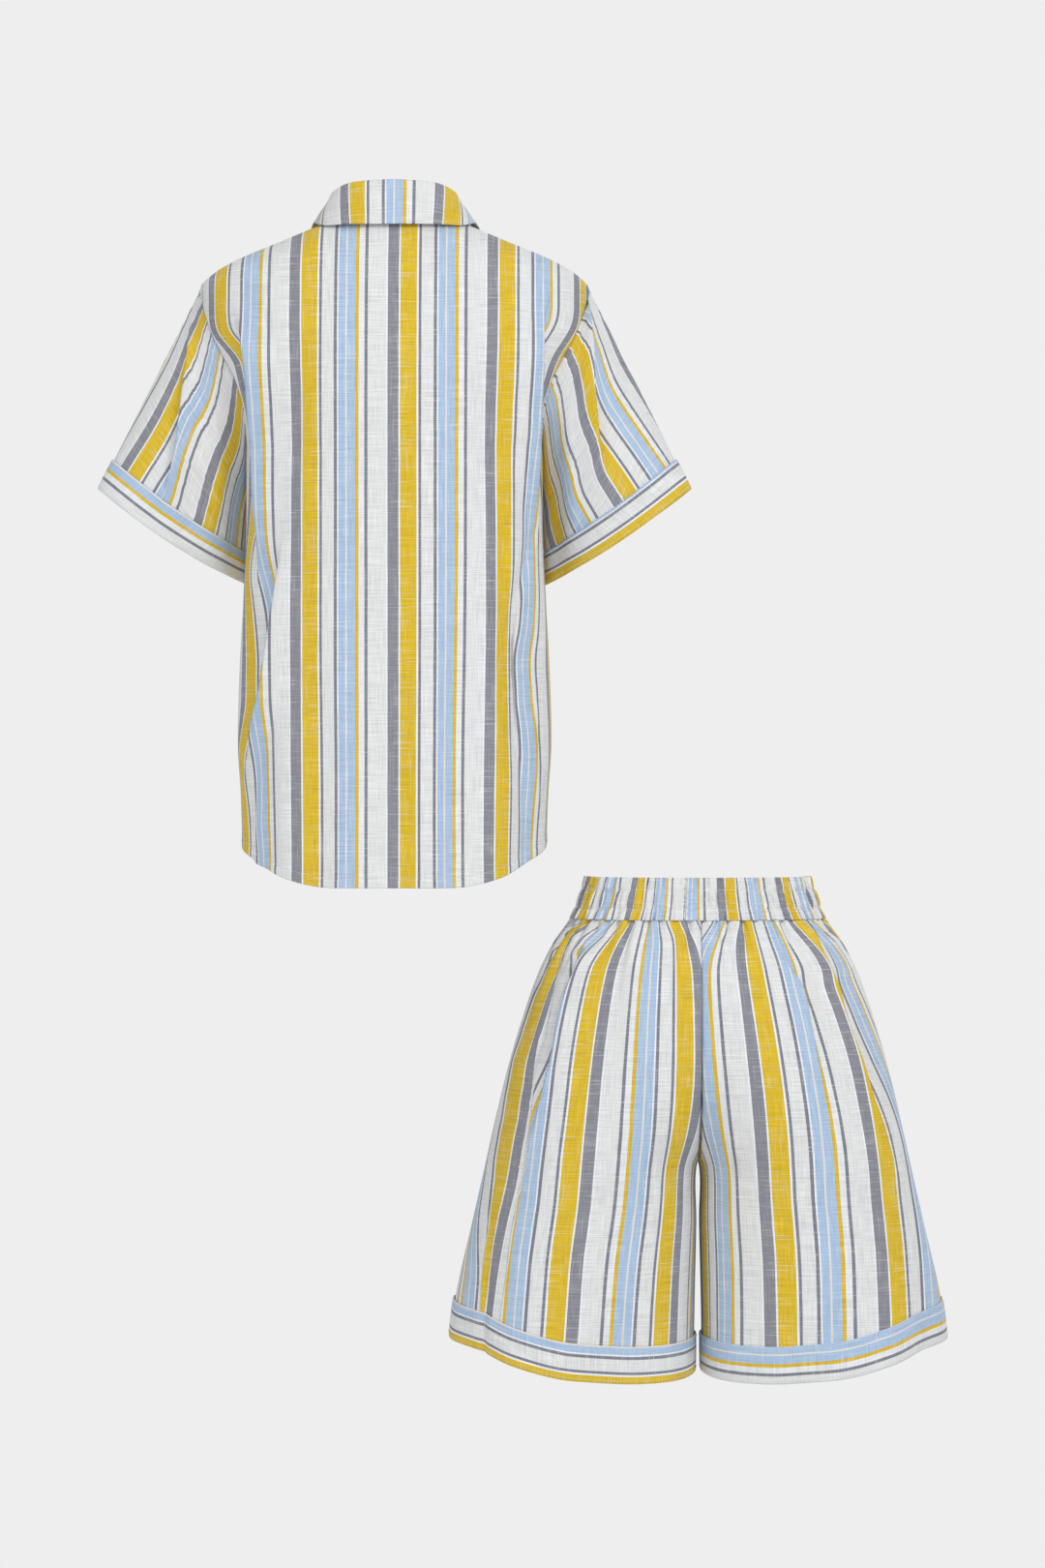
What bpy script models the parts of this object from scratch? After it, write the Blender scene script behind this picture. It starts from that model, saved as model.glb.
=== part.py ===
"""Short-sleeved shirt and wide gathered shorts, a matching set, both filled out as if worn.

Metres, +Z up. Seen from behind, the wearer's right is +X and the wearer faces +Y.
The origin is the middle of the neck where the wearer holds the shirt, at the level of the back neck seam.
"""

import math

import bpy
import numpy as np

# Cloth and seams
WALL = 0.0014            # thickness of every cloth wall
SEAM = 0.0003            # gap between two pieces that are sewn together
LAYER = WALL + SEAM      # step from one layer of cloth to the layer that lies on it

# Shirt body: one row for each level. half_width is where the shoulder line, the armhole or the side seam runs,
# back and front are the depths at the centre, the edge columns are the depths at that seam, and turn is how many
# degrees the section bends through on its way there.
SHIRT_COLUMNS = ("z", "half_width", "back", "back_edge", "front", "front_edge", "turn")
SHIRT_LEVELS = (
    (0.004, 0.0805, 0.066, 0.000, 0.020, 0.000, 90),
    (-0.015, 0.126, 0.077, 0.000, 0.040, 0.000, 90),
    (-0.030, 0.162, 0.085, 0.000, 0.052, 0.000, 90),
    (-0.045, 0.188, 0.091, 0.000, 0.061, 0.000, 90),
    (-0.060, 0.201, 0.095, 0.000, 0.069, 0.000, 90),
    (-0.085, 0.195, 0.100, 0.024, 0.081, 0.030, 82),
    (-0.108, 0.187, 0.105, 0.038, 0.091, 0.046, 76),
    (-0.130, 0.176, 0.109, 0.046, 0.100, 0.056, 73),
    (-0.160, 0.161, 0.112, 0.050, 0.110, 0.060, 72),
    (-0.190, 0.153, 0.113, 0.042, 0.117, 0.052, 76),
    (-0.215, 0.152, 0.113, 0.024, 0.120, 0.030, 84),
    (-0.235, 0.153, 0.113, 0.000, 0.121, 0.000, 90),
    (-0.300, 0.153, 0.112, 0.000, 0.121, 0.000, 90),
    (-0.375, 0.156, 0.111, 0.000, 0.119, 0.000, 90),
    (-0.450, 0.160, 0.112, 0.000, 0.118, 0.000, 90),
    (-0.520, 0.162, 0.114, 0.000, 0.118, 0.000, 90),
    (-0.600, 0.159, 0.116, 0.000, 0.118, 0.000, 90),
    (-0.675, 0.157, 0.118, 0.000, 0.119, 0.000, 90),
)
SHIRT_POWER = 2.35       # how boxy the section is: 2 is an ellipse
ABOVE_ARMHOLE = (0.004, -0.012, -0.026, -0.040, -0.051)
ARMHOLE = (-0.060, -0.0705, -0.090, -0.113, -0.140, -0.168, -0.195, -0.218, -0.235)
BELOW_ARMHOLE = (-0.290, -0.345, -0.400, -0.455, -0.510, -0.565, -0.620, -0.675)
HEM_RISE, HEM_RISE_START, HEM_RISE_END = 0.047, 0.27, 1.06  # shirt-tail curve, across half a panel
HEM_BLEND = 0.16         # height over which the rows bend into the hem's curve
FLUTE_DEPTH, FLUTES = 0.0030, 3.0  # soft waves that open towards the hem
FLUTE_TOP, FLUTE_REACH = -0.18, 0.50
FLAT_BY_BAND = 0.16      # the front's waves die away this close to its centre
BACK_COLUMNS, FRONT_COLUMNS = 27, 12

# Shirt folds. side is -1 for the wearer's left. top, middle and foot are places across half the panel, 0 at the
# centre and 1 at the seam. depth moves the cloth out and lean rolls it over towards the seam.
FOLD_COLUMNS = ("side", "z_top", "z_foot", "top", "middle", "foot", "half_width", "depth", "lean")
BACK_FOLDS = (
    (-1, -0.062, -0.400, 0.74, 0.70, 0.74, 0.075, 0.010, 0.008),
    (1, -0.062, -0.400, 0.73, 0.70, 0.74, 0.075, 0.010, 0.008),
    (-1, -0.330, -0.600, 0.63, 0.72, 0.86, 0.070, 0.008, 0.007),
    (1, -0.380, -0.640, 0.64, 0.66, 0.66, 0.070, -0.007, 0.003),
)
FRONT_FOLDS = (
    (-1, -0.090, -0.400, 0.64, 0.60, 0.64, 0.080, 0.006, 0.005),
    (1, -0.080, -0.430, 0.66, 0.62, 0.64, 0.080, 0.006, 0.005),
    (-1, -0.360, -0.620, 0.68, 0.74, 0.78, 0.080, 0.007, 0.005),
    (1, -0.350, -0.600, 0.64, 0.70, 0.78, 0.080, 0.007, 0.005),
)

# Shirt front: half the neckline's width at each level, and the button band
NECKLINE_COLUMNS = ("z", "half_width")
NECKLINE = ((0.004, 0.0805), (-0.015, 0.078), (-0.030, 0.072), (-0.045, 0.061), (-0.060, 0.037), (-0.0705, 0.004))
NECK_LEVELS = ABOVE_ARMHOLE + ARMHOLE[:2]
UNDERLAP = 0.0085        # how far the left front reaches past the centre, under the band
BAND_HALF, BAND_TOP, BAND_COLUMNS = 0.013, -0.0715, 4
BAND_LIFT = LAYER + 0.0006
BUTTONS, BUTTON_TOP, BUTTON_PITCH = 6, -0.104, 0.091
BUTTON_RADIUS, BUTTON_THICK, BUTTON_RIM, BUTTON_DISH = 0.0058, 0.0024, 0.0012, 0.0008
BUTTON_SIDES, BUTTON_CLEAR = 14, 0.0006

# Collar: one row for each place along the neck seam, 0 at the centre back and 1 at the centre front. The roll is the
# folded top, measured from the seam. The leaf's edge is given in place.
COLLAR_COLUMNS = ("along", "roll_in", "roll_up", "edge_x", "edge_y", "edge_z")
COLLAR = (
    (0.00, 0.004, 0.0392, 0.0000, -0.0765, -0.0008),
    (0.15, 0.006, 0.0376, 0.0375, -0.0735, -0.0005),
    (0.30, 0.013, 0.0310, 0.0655, -0.0580, 0.0000),
    (0.42, 0.018, 0.0265, 0.0790, -0.0350, 0.0042),
    (0.52, 0.018, 0.0245, 0.0845, 0.0015, 0.0095),
    (0.62, 0.017, 0.0230, 0.0890, 0.0320, 0.0020),
    (0.74, 0.011, 0.0215, 0.0930, 0.0640, -0.0380),
    (0.87, 0.004, 0.0180, 0.0830, 0.0880, -0.0780),
    (1.00, 0.000, 0.0135, 0.0580, 0.1000, -0.1180),
)
ROLL_RADIUS = 0.0028
LEAF_CLEAR = 0.0048      # the leaf's outer face stays this far off the shirt
BACK_NECK_POINTS, STAND_ROWS, ROLL_ROWS, LEAF_ROWS = 9, 2, 4, 5

# Sleeve: the opening's outer and inner corners, half its depth, and the turned-back cuff
OPENING_OUTER, OPENING_INNER = (0.3045, -0.004, -0.266), (0.1570, 0.052, -0.362)
OPENING_HALF_DEPTH = 0.052
OPENING_SAG_BACK, OPENING_SAG_FRONT = 0.008, 0.003
UNDERARM_OUT, UNDERARM_AHEAD = 0.0025, 0.020  # how far the underside bows clear of the body, and forwards
UNDERARM_REACH = 0.24    # the bow dies away this far round the sleeve, as a share of its loop
CUFF_HEIGHT = 0.034
CUFF_LIFT = LAYER + 0.0003
TUCK = 0.003             # a sleeve or leg ends this far inside its band's lower edge
CUFF_ROWS = (1.0, 0.5, 0.0)  # shares of the cuff's height above its lower edge
SLEEVE_ROWS = (0.0, 0.08, 0.21, 0.38, 0.56)
SLEEVE_FOLD_START, SLEEVE_FOLD_FADE = 0.3, 0.5  # folds are full this far down, and lose this share by the opening
SLEEVE_FOLD_COLUMNS = ("around_top", "around_foot", "half_width", "depth")
SLEEVE_FOLDS = ((0.08, 0.26, 0.045, -0.007), (0.38, 0.40, 0.050, -0.004), (0.92, 0.74, 0.045, -0.006))

# Shorts, levels measured down from the waist's top edge. outer is the side seam and leg_centre the middle of each
# leg: at 0 the two legs share one oval, and they part at the crotch where leg_centre passes half of outer.
WAIST_AT = (0.313, 0.0, -0.665)
SHORTS_COLUMNS = ("z", "outer", "leg_centre", "back", "front")
SHORTS_LEVELS = (
    (0.000, 0.1165, 0.000, 0.088, 0.084),
    (-0.043, 0.1320, 0.000, 0.099, 0.094),
    (-0.070, 0.1500, 0.002, 0.108, 0.101),
    (-0.100, 0.1645, 0.010, 0.116, 0.106),
    (-0.150, 0.1820, 0.032, 0.123, 0.110),
    (-0.205, 0.1980, 0.064, 0.125, 0.112),
    (-0.255, 0.2100, 0.092, 0.124, 0.112),
    (-0.300, 0.2200, 0.1107, 0.121, 0.111),
    (-0.355, 0.2325, 0.1170, 0.117, 0.109),
    (-0.445, 0.2520, 0.1277, 0.115, 0.109),
    (-0.525, 0.2600, 0.1322, 0.114, 0.109),
)
SHORTS_POWER = 2.2
CROTCH = -0.300
HIP_LEVELS = (-0.120, -0.150, -0.182, -0.214, -0.243, -0.266, -0.285)
LEG_SHARES = (0.0, 0.18, 0.37, 0.57)
HEM_AROUND_COLUMNS = ("degrees", "z")
HEM_AROUND = ((0, -0.472), (42, -0.480), (66, -0.493), (92, -0.5065), (122, -0.5114), (150, -0.5106), (180, -0.5086))
LEG_BAND = 0.038
FRONT_DROP, FRONT_DROP_REACH = 0.008, 0.12  # the front waist sits a little lower than the back
WAISTBAND = 0.043
WAISTBAND_COLUMNS = ("z", "gather_depth")
WAISTBAND_ROWS = ((0.0, 0.0014), (-0.022, 0.0006), (-0.043, 0.0020))
GATHERS_IN_PANEL = 13    # four panels make 52 all round the waist
GATHER_ROWS = ((-0.0433, 0.0020), (-0.062, 0.0028), (-0.090, 0.0012))
PANEL_COLUMNS = 16
LEG_FLUTES, LEG_FLUTE_DEPTH = 2.5, 0.0045  # waves in half a leg
LEG_FLUTE_ENDS = (45, 60)  # degrees over which they start at the outer seam and end at the inner one
SEAM_CALM = 25           # degrees from the outer seam within which folds die away

# Shorts folds, with the shirt folds' columns. Here top, middle, foot and half_width are in metres from the centre.
SHORTS_BACK_FOLDS = (
    (-1, -0.060, -0.330, 0.112, 0.152, 0.186, 0.015, 0.010, 0.010),
    (-1, -0.340, -0.520, 0.224, 0.223, 0.222, 0.014, -0.006, 0.000),
    (1, -0.060, -0.310, 0.080, 0.116, 0.122, 0.016, 0.008, 0.005),
    (1, -0.065, -0.360, 0.130, 0.172, 0.214, 0.014, 0.006, 0.003),
)
SHORTS_FRONT_FOLDS = (
    (-1, -0.060, -0.360, 0.090, 0.130, 0.160, 0.014, 0.010, 0.008),
    (1, -0.060, -0.340, 0.100, 0.138, 0.172, 0.014, 0.010, 0.008),
)

# Finish
CLOTH_COLOUR, CLOTH_ROUGHNESS = (0.80, 0.77, 0.66), 0.85
BUTTON_COLOUR, BUTTON_ROUGHNESS = (0.90, 0.88, 0.82), 0.35
SMOOTH_UP_TO = 50        # degrees


def smooth_table(table, columns, name, at):
    """A column of a table at the places `at`, on a smooth curve through its rows that never overshoots them."""
    rows = np.array(table, float)
    x, y = rows[:, 0], rows[:, columns.index(name)]
    if x[0] > x[-1]:
        x, y = x[::-1], y[::-1]
    step = np.diff(y) / np.diff(x)
    both = step[:-1] * step[1:]
    total = np.where(both > 0, step[:-1] + step[1:], 1)
    middle = np.where(both > 0, 2 * both / total, 0)
    slope = np.concatenate([step[:1], middle, step[-1:]])
    at = np.clip(np.asarray(at, float), x[0], x[-1])
    i = np.clip(np.searchsorted(x, at) - 1, 0, len(x) - 2)
    width = x[i + 1] - x[i]
    t = (at - x[i]) / width
    return (y[i] * (1 + 2 * t) * (1 - t) ** 2 + y[i + 1] * t * t * (3 - 2 * t)
            + slope[i] * width * t * (1 - t) ** 2 - slope[i + 1] * width * t * t * (1 - t))


def smoothstep(t):
    t = np.clip(t, 0, 1)
    return t * t * (3 - 2 * t)


def unit(vectors):
    return vectors / (np.linalg.norm(vectors, axis=-1, keepdims=True) + 1e-12)


def even_places(line, count):
    """Places at even distances along a line of points, as shares of its point numbers."""
    run = np.concatenate([[0], np.cumsum(np.linalg.norm(np.diff(line, axis=0), axis=1))])
    return np.interp(np.linspace(0, run[-1], count), run, np.arange(len(line)))


def shirt_level(name, z):
    return smooth_table(SHIRT_LEVELS, SHIRT_COLUMNS, name, z)


def shirt_section(is_front, z, steps=90):
    """Half a section of the shirt from its centre to its seam: points in plan, their outward normals, and shares."""
    half_width, turn = shirt_level("half_width", z), math.radians(shirt_level("turn", z))
    centre = shirt_level("front" if is_front else "back", z)
    edge = shirt_level("front_edge" if is_front else "back_edge", z)
    angle = np.linspace(0, 1, steps) * turn
    sine, cosine = np.sin(angle) ** (2 / SHIRT_POWER), np.clip(np.cos(angle), 0, 1) ** (2 / SHIRT_POWER)
    x = half_width * sine / sine[-1]
    depth = edge + (centre - edge) * (cosine - cosine[-1]) / (1 - cosine[-1])
    ahead = 1 if is_front else -1
    points = np.stack([x, depth * ahead], axis=1)
    tangent = unit(np.gradient(points, axis=0))
    normals = np.stack([-tangent[:, 1], tangent[:, 0]], axis=1) * ahead
    run = np.concatenate([[0], np.cumsum(np.linalg.norm(np.diff(points, axis=0), axis=1))])
    return points, normals, run / run[-1]


def fold_shift(folds, place, side, down_level):
    """How far folds move the cloth out and along its row. place and side say where each point is on the row."""
    out, along = np.zeros_like(place), np.zeros_like(place)
    for row in folds:
        fold = dict(zip(FOLD_COLUMNS, row))
        down = np.clip((down_level - fold["z_top"]) / (fold["z_foot"] - fold["z_top"]), 0, 1)
        crest = ((1 - down) * (1 - 2 * down) * fold["top"] + 4 * down * (1 - down) * fold["middle"]
                 + down * (2 * down - 1) * fold["foot"])
        strength = np.sin(math.pi * down) ** 0.6 * (side == fold["side"])
        bell = np.exp(-((place - crest) / fold["half_width"]) ** 2) * strength
        out += fold["depth"] * bell
        along += fold["lean"] * bell
    return out, along


def shirt_row(is_front, across, z):
    """Points of one row of the shirt. across runs from -1 at the wearer's left seam, through 0, to 1."""
    points, normals, share = shirt_section(is_front, z)
    place, side = np.abs(across), np.where(across < 0, -1, 1)
    plan = np.stack([np.interp(place, share, points[:, k]) for k in (0, 1)])
    normal = np.stack([np.interp(place, share, normals[:, k]) for k in (0, 1)])
    tangent = np.stack([normal[1], -normal[0]]) * (1 if is_front else -1)
    out, along = fold_shift(FRONT_FOLDS if is_front else BACK_FOLDS, place, side, z)
    opening = smoothstep((FLUTE_TOP - z) / FLUTE_REACH)
    if is_front:
        opening = opening * smoothstep(place / FLAT_BY_BAND)
    out = out - FLUTE_DEPTH * opening * np.cos(2 * math.pi * FLUTES * across) * (1 - place ** 4)
    plan = plan + normal * out + tangent * along
    rise = HEM_RISE * smoothstep((place - HEM_RISE_START) / (HEM_RISE_END - HEM_RISE_START))
    rise = rise * smoothstep((BELOW_ARMHOLE[-1] + HEM_BLEND - z) / HEM_BLEND)
    return np.stack([plan[0] * side, plan[1], z + rise], axis=1)


def mirrored(points, side):
    """The points as they are for the wearer's right, 1, or their mirror image for the left, -1."""
    return np.asarray(points) * (side, 1, 1)


def grid_normals(grid, closed):
    """Normals of a grid whose rows run down and whose columns run round, from its rows across its columns."""
    along = np.roll(grid, -1, 1) - np.roll(grid, 1, 1) if closed else np.gradient(grid, axis=1)
    return unit(np.cross(np.gradient(grid, axis=0), along))


def joined_rows(first, second, closed):
    """Faces between two rows of point numbers, which may hold different counts."""
    if closed:
        first, second = [*first, first[0]], [*second, second[0]]
    faces, i, j = [], 0, 0
    n, m = len(first) - 1, len(second) - 1
    while i < n or j < m:
        if n == m:
            faces += [(first[i], second[i], second[i + 1]), (first[i], second[i + 1], first[i + 1])]
            i, j = i + 1, j + 1
        elif j == m or (i < n and (i + 0.5) / n <= (j + 0.5) / m):
            faces.append((first[i], second[j], first[i + 1]))
            i += 1
        else:
            faces.append((first[i], second[j], second[j + 1]))
            j += 1
    return faces


def cloth(name, outer, inner, finish, closed=False, flipped=False):
    """One closed wall of cloth from its outer and inner rows of points."""
    points, numbers = [], []
    for row in (*outer, *inner):
        numbers.append(list(range(len(points), len(points) + len(row))))
        points.extend(row)
    out, inn = numbers[:len(outer)], numbers[len(outer):]
    faces = []
    for k in range(len(out) - 1):
        faces += joined_rows(out[k], out[k + 1], closed)
        faces += [face[::-1] for face in joined_rows(inn[k], inn[k + 1], closed)]
    faces += joined_rows(inn[0], out[0], closed) + joined_rows(out[-1], inn[-1], closed)
    if not closed:
        ends = [[row[k] for row in rows] for rows, k in ((out, 0), (inn, 0), (inn, -1), (out, -1))]
        faces += joined_rows(ends[0], ends[1], False) + joined_rows(ends[2], ends[3], False)
    if flipped:
        faces = [face[::-1] for face in faces]
    mesh = bpy.data.meshes.new(name)
    mesh.from_pydata([tuple(point) for point in points], [], faces)
    mesh.materials.append(finish)
    mesh.shade_smooth()
    mesh.set_sharp_from_angle(angle=math.radians(SMOOTH_UP_TO))
    obj = bpy.data.objects.new(name, mesh)
    bpy.context.scene.collection.objects.link(obj)
    return obj


def cloth_on(name, grid, finish, lift=0.0, closed=False, flipped=False):
    """A wall whose outer face lies `lift` outside the grid. flipped is for grids whose columns run the other way."""
    normals = grid_normals(grid, closed) * (-1 if flipped else 1)
    return cloth(name, grid + normals * lift, grid + normals * (lift - WALL), finish, closed, flipped)


def coloured(name, colour, roughness):
    made = bpy.data.materials.new(name)
    made.use_nodes = True
    shader = made.node_tree.nodes["Principled BSDF"]
    shader.inputs["Base Color"].default_value = (*colour, 1)
    shader.inputs["Roughness"].default_value = roughness
    shader.inputs["Metallic"].default_value = 0.0
    return made


def seam_stop(is_front, z):
    """The share of a row that ends half a seam's gap before the side."""
    points, _, _ = shirt_section(is_front, z)
    length = np.linalg.norm(np.diff(points, axis=0), axis=1).sum()
    return 1 - SEAM / length


def shirt_back(finish):
    rows = []
    for z in ABOVE_ARMHOLE + ARMHOLE + BELOW_ARMHOLE:
        stop = seam_stop(False, z)
        rows.append(shirt_row(False, np.linspace(-stop, stop, BACK_COLUMNS), z))
    cloth_on("top_back", np.array(rows), finish)


def neck_half_width(z):
    return float(smooth_table(NECKLINE, NECKLINE_COLUMNS, "half_width", z))


def front_start(side, z):
    """Where a front begins at one level, as a share of its half section: its neckline, or its edge at the centre."""
    points, _, share = shirt_section(True, z)
    x = neck_half_width(z)
    if z < NECK_LEVELS[-1]:
        x = UNDERLAP + SEAM if side > 0 else -UNDERLAP
    elif side > 0:
        x = max(x, UNDERLAP + SEAM)
    return math.copysign(np.interp(abs(x), points[:, 0], share), x)


def shirt_front(side, finish):
    rows = []
    for z in ABOVE_ARMHOLE + ARMHOLE + BELOW_ARMHOLE:
        across = np.linspace(front_start(side, z), seam_stop(True, z), FRONT_COLUMNS) * side
        rows.append(shirt_row(True, across, z))
    cloth_on("top_front_right" if side > 0 else "top_front_left", np.array(rows), finish, flipped=side > 0)


def button_band(finish):
    """The grid that the band is made on, which the buttons sit on too."""
    rows = []
    for z in (BAND_TOP,) + ARMHOLE[2:] + BELOW_ARMHOLE:
        points, _, share = shirt_section(True, z)
        reach = np.interp(BAND_HALF, points[:, 0], share)
        rows.append(shirt_row(True, np.linspace(reach, -reach, BAND_COLUMNS), z))
    grid = np.array(rows)
    cloth_on("top_placket", grid, finish, lift=BAND_LIFT)
    return grid


def buttons(grid, finish):
    """Small dished discs down the middle of the band."""
    middle, normals = grid.mean(axis=1), grid_normals(grid, False).mean(axis=1)
    profile = (
        (BUTTON_RADIUS - BUTTON_RIM, 0.0), (BUTTON_RADIUS, BUTTON_RIM), (BUTTON_RADIUS - BUTTON_RIM / 2, BUTTON_THICK),
        (BUTTON_RADIUS - BUTTON_RIM * 1.5, BUTTON_THICK - BUTTON_DISH),
    )
    turns = np.linspace(0, 2 * math.pi, BUTTON_SIDES, endpoint=False)
    for number in range(BUTTONS):
        z = BUTTON_TOP - number * BUTTON_PITCH
        place = np.array([np.interp(-z, -middle[:, 2], middle[:, k]) for k in range(3)])
        axis = unit(np.array([np.interp(-z, -middle[:, 2], normals[:, k]) for k in range(3)]))
        right = unit(np.cross(axis, (0, 0, 1)))
        up = np.cross(right, axis)
        base = place + axis * (BAND_LIFT + BUTTON_CLEAR)
        ring = np.cos(turns)[:, None] * right + np.sin(turns)[:, None] * up
        points = [base + ring * radius + axis * height for radius, height in profile]
        vertices = np.concatenate(points)
        rings = [list(range(k * BUTTON_SIDES, (k + 1) * BUTTON_SIDES)) for k in range(len(profile))]
        faces = [tuple(rings[0]), tuple(rings[-1][::-1])]
        for k in range(len(rings) - 1):
            faces += joined_rows(rings[k], rings[k + 1], True)
        mesh = bpy.data.meshes.new(f"top_button_{number + 1}")
        mesh.from_pydata([tuple(vertex) for vertex in vertices], [], faces)
        mesh.materials.append(finish)
        mesh.shade_smooth()
        mesh.set_sharp_from_angle(angle=math.radians(SMOOTH_UP_TO))
        obj = bpy.data.objects.new(mesh.name, mesh)
        bpy.context.scene.collection.objects.link(obj)


def neck_seam():
    """Points along the neck seam from the centre back to the centre front on the wearer's right."""
    top = NECK_LEVELS[0]
    points, _, share = shirt_section(False, top)
    places = np.linspace(0, 1, BACK_NECK_POINTS)
    line = [(np.interp(place, share, points[:, 0]), np.interp(place, share, points[:, 1]), top) for place in places]
    for z in NECK_LEVELS[1:]:
        section, _, _ = shirt_section(True, z)
        x = neck_half_width(z)
        line.append((x, np.interp(x, section[:, 0], section[:, 1]), z))
    return np.array(line)


def clear_of_shirt(point):
    """The point moved out, in depth, until it is clear of the shirt."""
    x, y, z = point
    is_front = y > 0
    section, _, _ = shirt_section(is_front, min(z, NECKLINE[0][0]))
    if z > NECKLINE[0][0] or x > section[-1, 0]:
        return point
    surface = abs(np.interp(x, section[:, 0], section[:, 1])) + LEAF_CLEAR
    return np.array([x, max(abs(y), surface) * (1 if is_front else -1), z])


def collar_profile(seam, outward, along):
    """One strip of the collar: up the stand, over the roll and down the leaf to its edge."""
    value = {name: float(smooth_table(COLLAR, COLLAR_COLUMNS, name, along)) for name in COLLAR_COLUMNS[1:]}
    up = np.array([0, 0, 1.0])
    foot = seam - outward * WALL + up * SEAM
    top = foot - outward * value["roll_in"] + up * value["roll_up"]
    edge = np.array([value["edge_x"], value["edge_y"], value["edge_z"]])
    stand = [foot + (top - foot) * t for t in np.linspace(0, 1, STAND_ROWS, endpoint=False)]
    centre = top + outward * ROLL_RADIUS
    turns = np.linspace(math.pi, 0, ROLL_ROWS + 1)
    roll = [centre + (outward * math.cos(turn) + up * math.sin(turn)) * ROLL_RADIUS for turn in turns]
    start = roll[-1]
    bend = start + (edge - start) * 0.5 + (outward * 0.1 + up * 0.2) * np.linalg.norm((edge - start)[:2])
    leaf = []
    for t in np.linspace(0, 1, LEAF_ROWS + 1)[1:]:
        point = (1 - t) ** 2 * start + 2 * t * (1 - t) * bend + t * t * edge
        leaf.append(clear_of_shirt(point))
    return np.array(stand + roll + leaf)


def collar(finish):
    seam = neck_seam()
    direction = np.gradient(seam[:, :2], axis=0)
    direction[0] = (1, 0)
    outward = unit(np.column_stack([direction[:, 1], -direction[:, 0], np.zeros(len(seam))]))
    run = np.concatenate([[0], np.cumsum(np.linalg.norm(np.diff(seam, axis=0), axis=1))])
    strips = [collar_profile(*point) for point in zip(seam, outward, run / run[-1])]
    right = np.array(strips)
    left = mirrored(right[:0:-1], -1)
    grid = np.concatenate([left, right]).transpose(1, 0, 2)
    cloth_on("top_collar", grid, finish)


def armhole_loop():
    """Points round the wearer's right armhole: from the shoulder down the back, and up the front."""
    def edge(is_front, z):
        depth = shirt_level("front_edge" if is_front else "back_edge", z)
        return (shirt_level("half_width", z), depth if is_front else -depth, z)
    loop = [edge(False, z) for z in ARMHOLE] + [edge(True, z) for z in ARMHOLE[-2:0:-1]]
    with_middles = []
    for k, point in enumerate(loop):
        following = loop[(k + 1) % len(loop)]
        with_middles += [point, tuple(np.add(point, following) / 2)]
    return np.array(with_middles, float)


def opening_loop(around):
    """Points of the sleeve's opening at places round it, 0 at its outer corner and 0.25 at its back."""
    outer, inner = np.array(OPENING_OUTER), np.array(OPENING_INNER)
    turn = 2 * math.pi * around[:, None]
    sag = np.where(np.sin(turn) > 0, OPENING_SAG_BACK, OPENING_SAG_FRONT) * np.sin(turn) ** 2
    return ((outer + inner) / 2 + (outer - inner) / 2 * np.cos(turn)
            - np.array([0, OPENING_HALF_DEPTH, 0]) * np.sin(turn) - np.array([0, 0, 1]) * sag)


def sleeve_points(shares, armhole, around):
    """Points of the sleeve's outer face. shares gives, for each row and column, how far down the sleeve it is."""
    opening = opening_loop(around)
    grid = armhole + (opening - armhole) * shares[..., None]
    grid[..., 0] += SEAM
    under = smoothstep(1 - np.abs(around - 0.5) / UNDERARM_REACH)
    bow = under * np.sin(math.pi * shares ** 0.6)
    grid[..., 0] += UNDERARM_OUT * bow
    grid[..., 1] += UNDERARM_AHEAD * bow
    normals = -grid_normals(grid, True)
    out = np.zeros(shares.shape)
    for row in SLEEVE_FOLDS:
        fold = dict(zip(SLEEVE_FOLD_COLUMNS, row))
        crest = fold["around_top"] + (fold["around_foot"] - fold["around_top"]) * shares
        apart = np.abs((around - crest + 0.5) % 1 - 0.5)
        strength = smoothstep(shares / SLEEVE_FOLD_START) * (1 - SLEEVE_FOLD_FADE * shares)
        out += fold["depth"] * np.exp(-(apart / fold["half_width"]) ** 2) * strength
    return grid + normals * out[..., None]


def sleeve(side, sleeve_finish):
    name = "right" if side > 0 else "left"
    armhole = armhole_loop()
    around = np.linspace(0, 1, len(armhole), endpoint=False)
    length = np.linalg.norm(opening_loop(around) - armhole, axis=1)
    cuff_rows = [1 - CUFF_HEIGHT * up / length for up in CUFF_ROWS]
    rows = [np.full(len(around), share) for share in SLEEVE_ROWS] + cuff_rows[:-1] + [1 - TUCK / length]
    grid = mirrored(sleeve_points(np.array(rows), armhole, around), side)
    cloth_on(f"top_sleeve_{name}", grid, sleeve_finish, closed=True, flipped=side > 0)
    grid = mirrored(sleeve_points(np.array(cuff_rows), armhole, around), side)
    cloth_on(f"top_cuff_{name}", grid, sleeve_finish, lift=CUFF_LIFT, closed=True, flipped=side > 0)


def shorts_level(name, z):
    return smooth_table(SHORTS_LEVELS, SHORTS_COLUMNS, name, z)


def shorts_angles(z, count, centre_gap):
    """Angles round half a section above the crotch, from the side seam at 0 to the centre seam."""
    centre, depth = shorts_level("leg_centre", z), shorts_level("back", z)
    half = shorts_level("outer", z) - centre
    reach = (centre - centre_gap) / half
    bend = math.asin(min(abs(reach), 1) ** (SHORTS_POWER / 2))
    last = math.pi / 2 + math.copysign(bend, reach)
    dense = np.linspace(0, last, 240)
    line = np.column_stack([half * round_power(np.cos(dense)), depth * round_power(np.sin(dense))])
    return np.interp(even_places(line, count), np.arange(len(dense)), dense)


def round_power(value):
    return np.sign(value) * np.abs(value) ** (2 / SHORTS_POWER)


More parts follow.
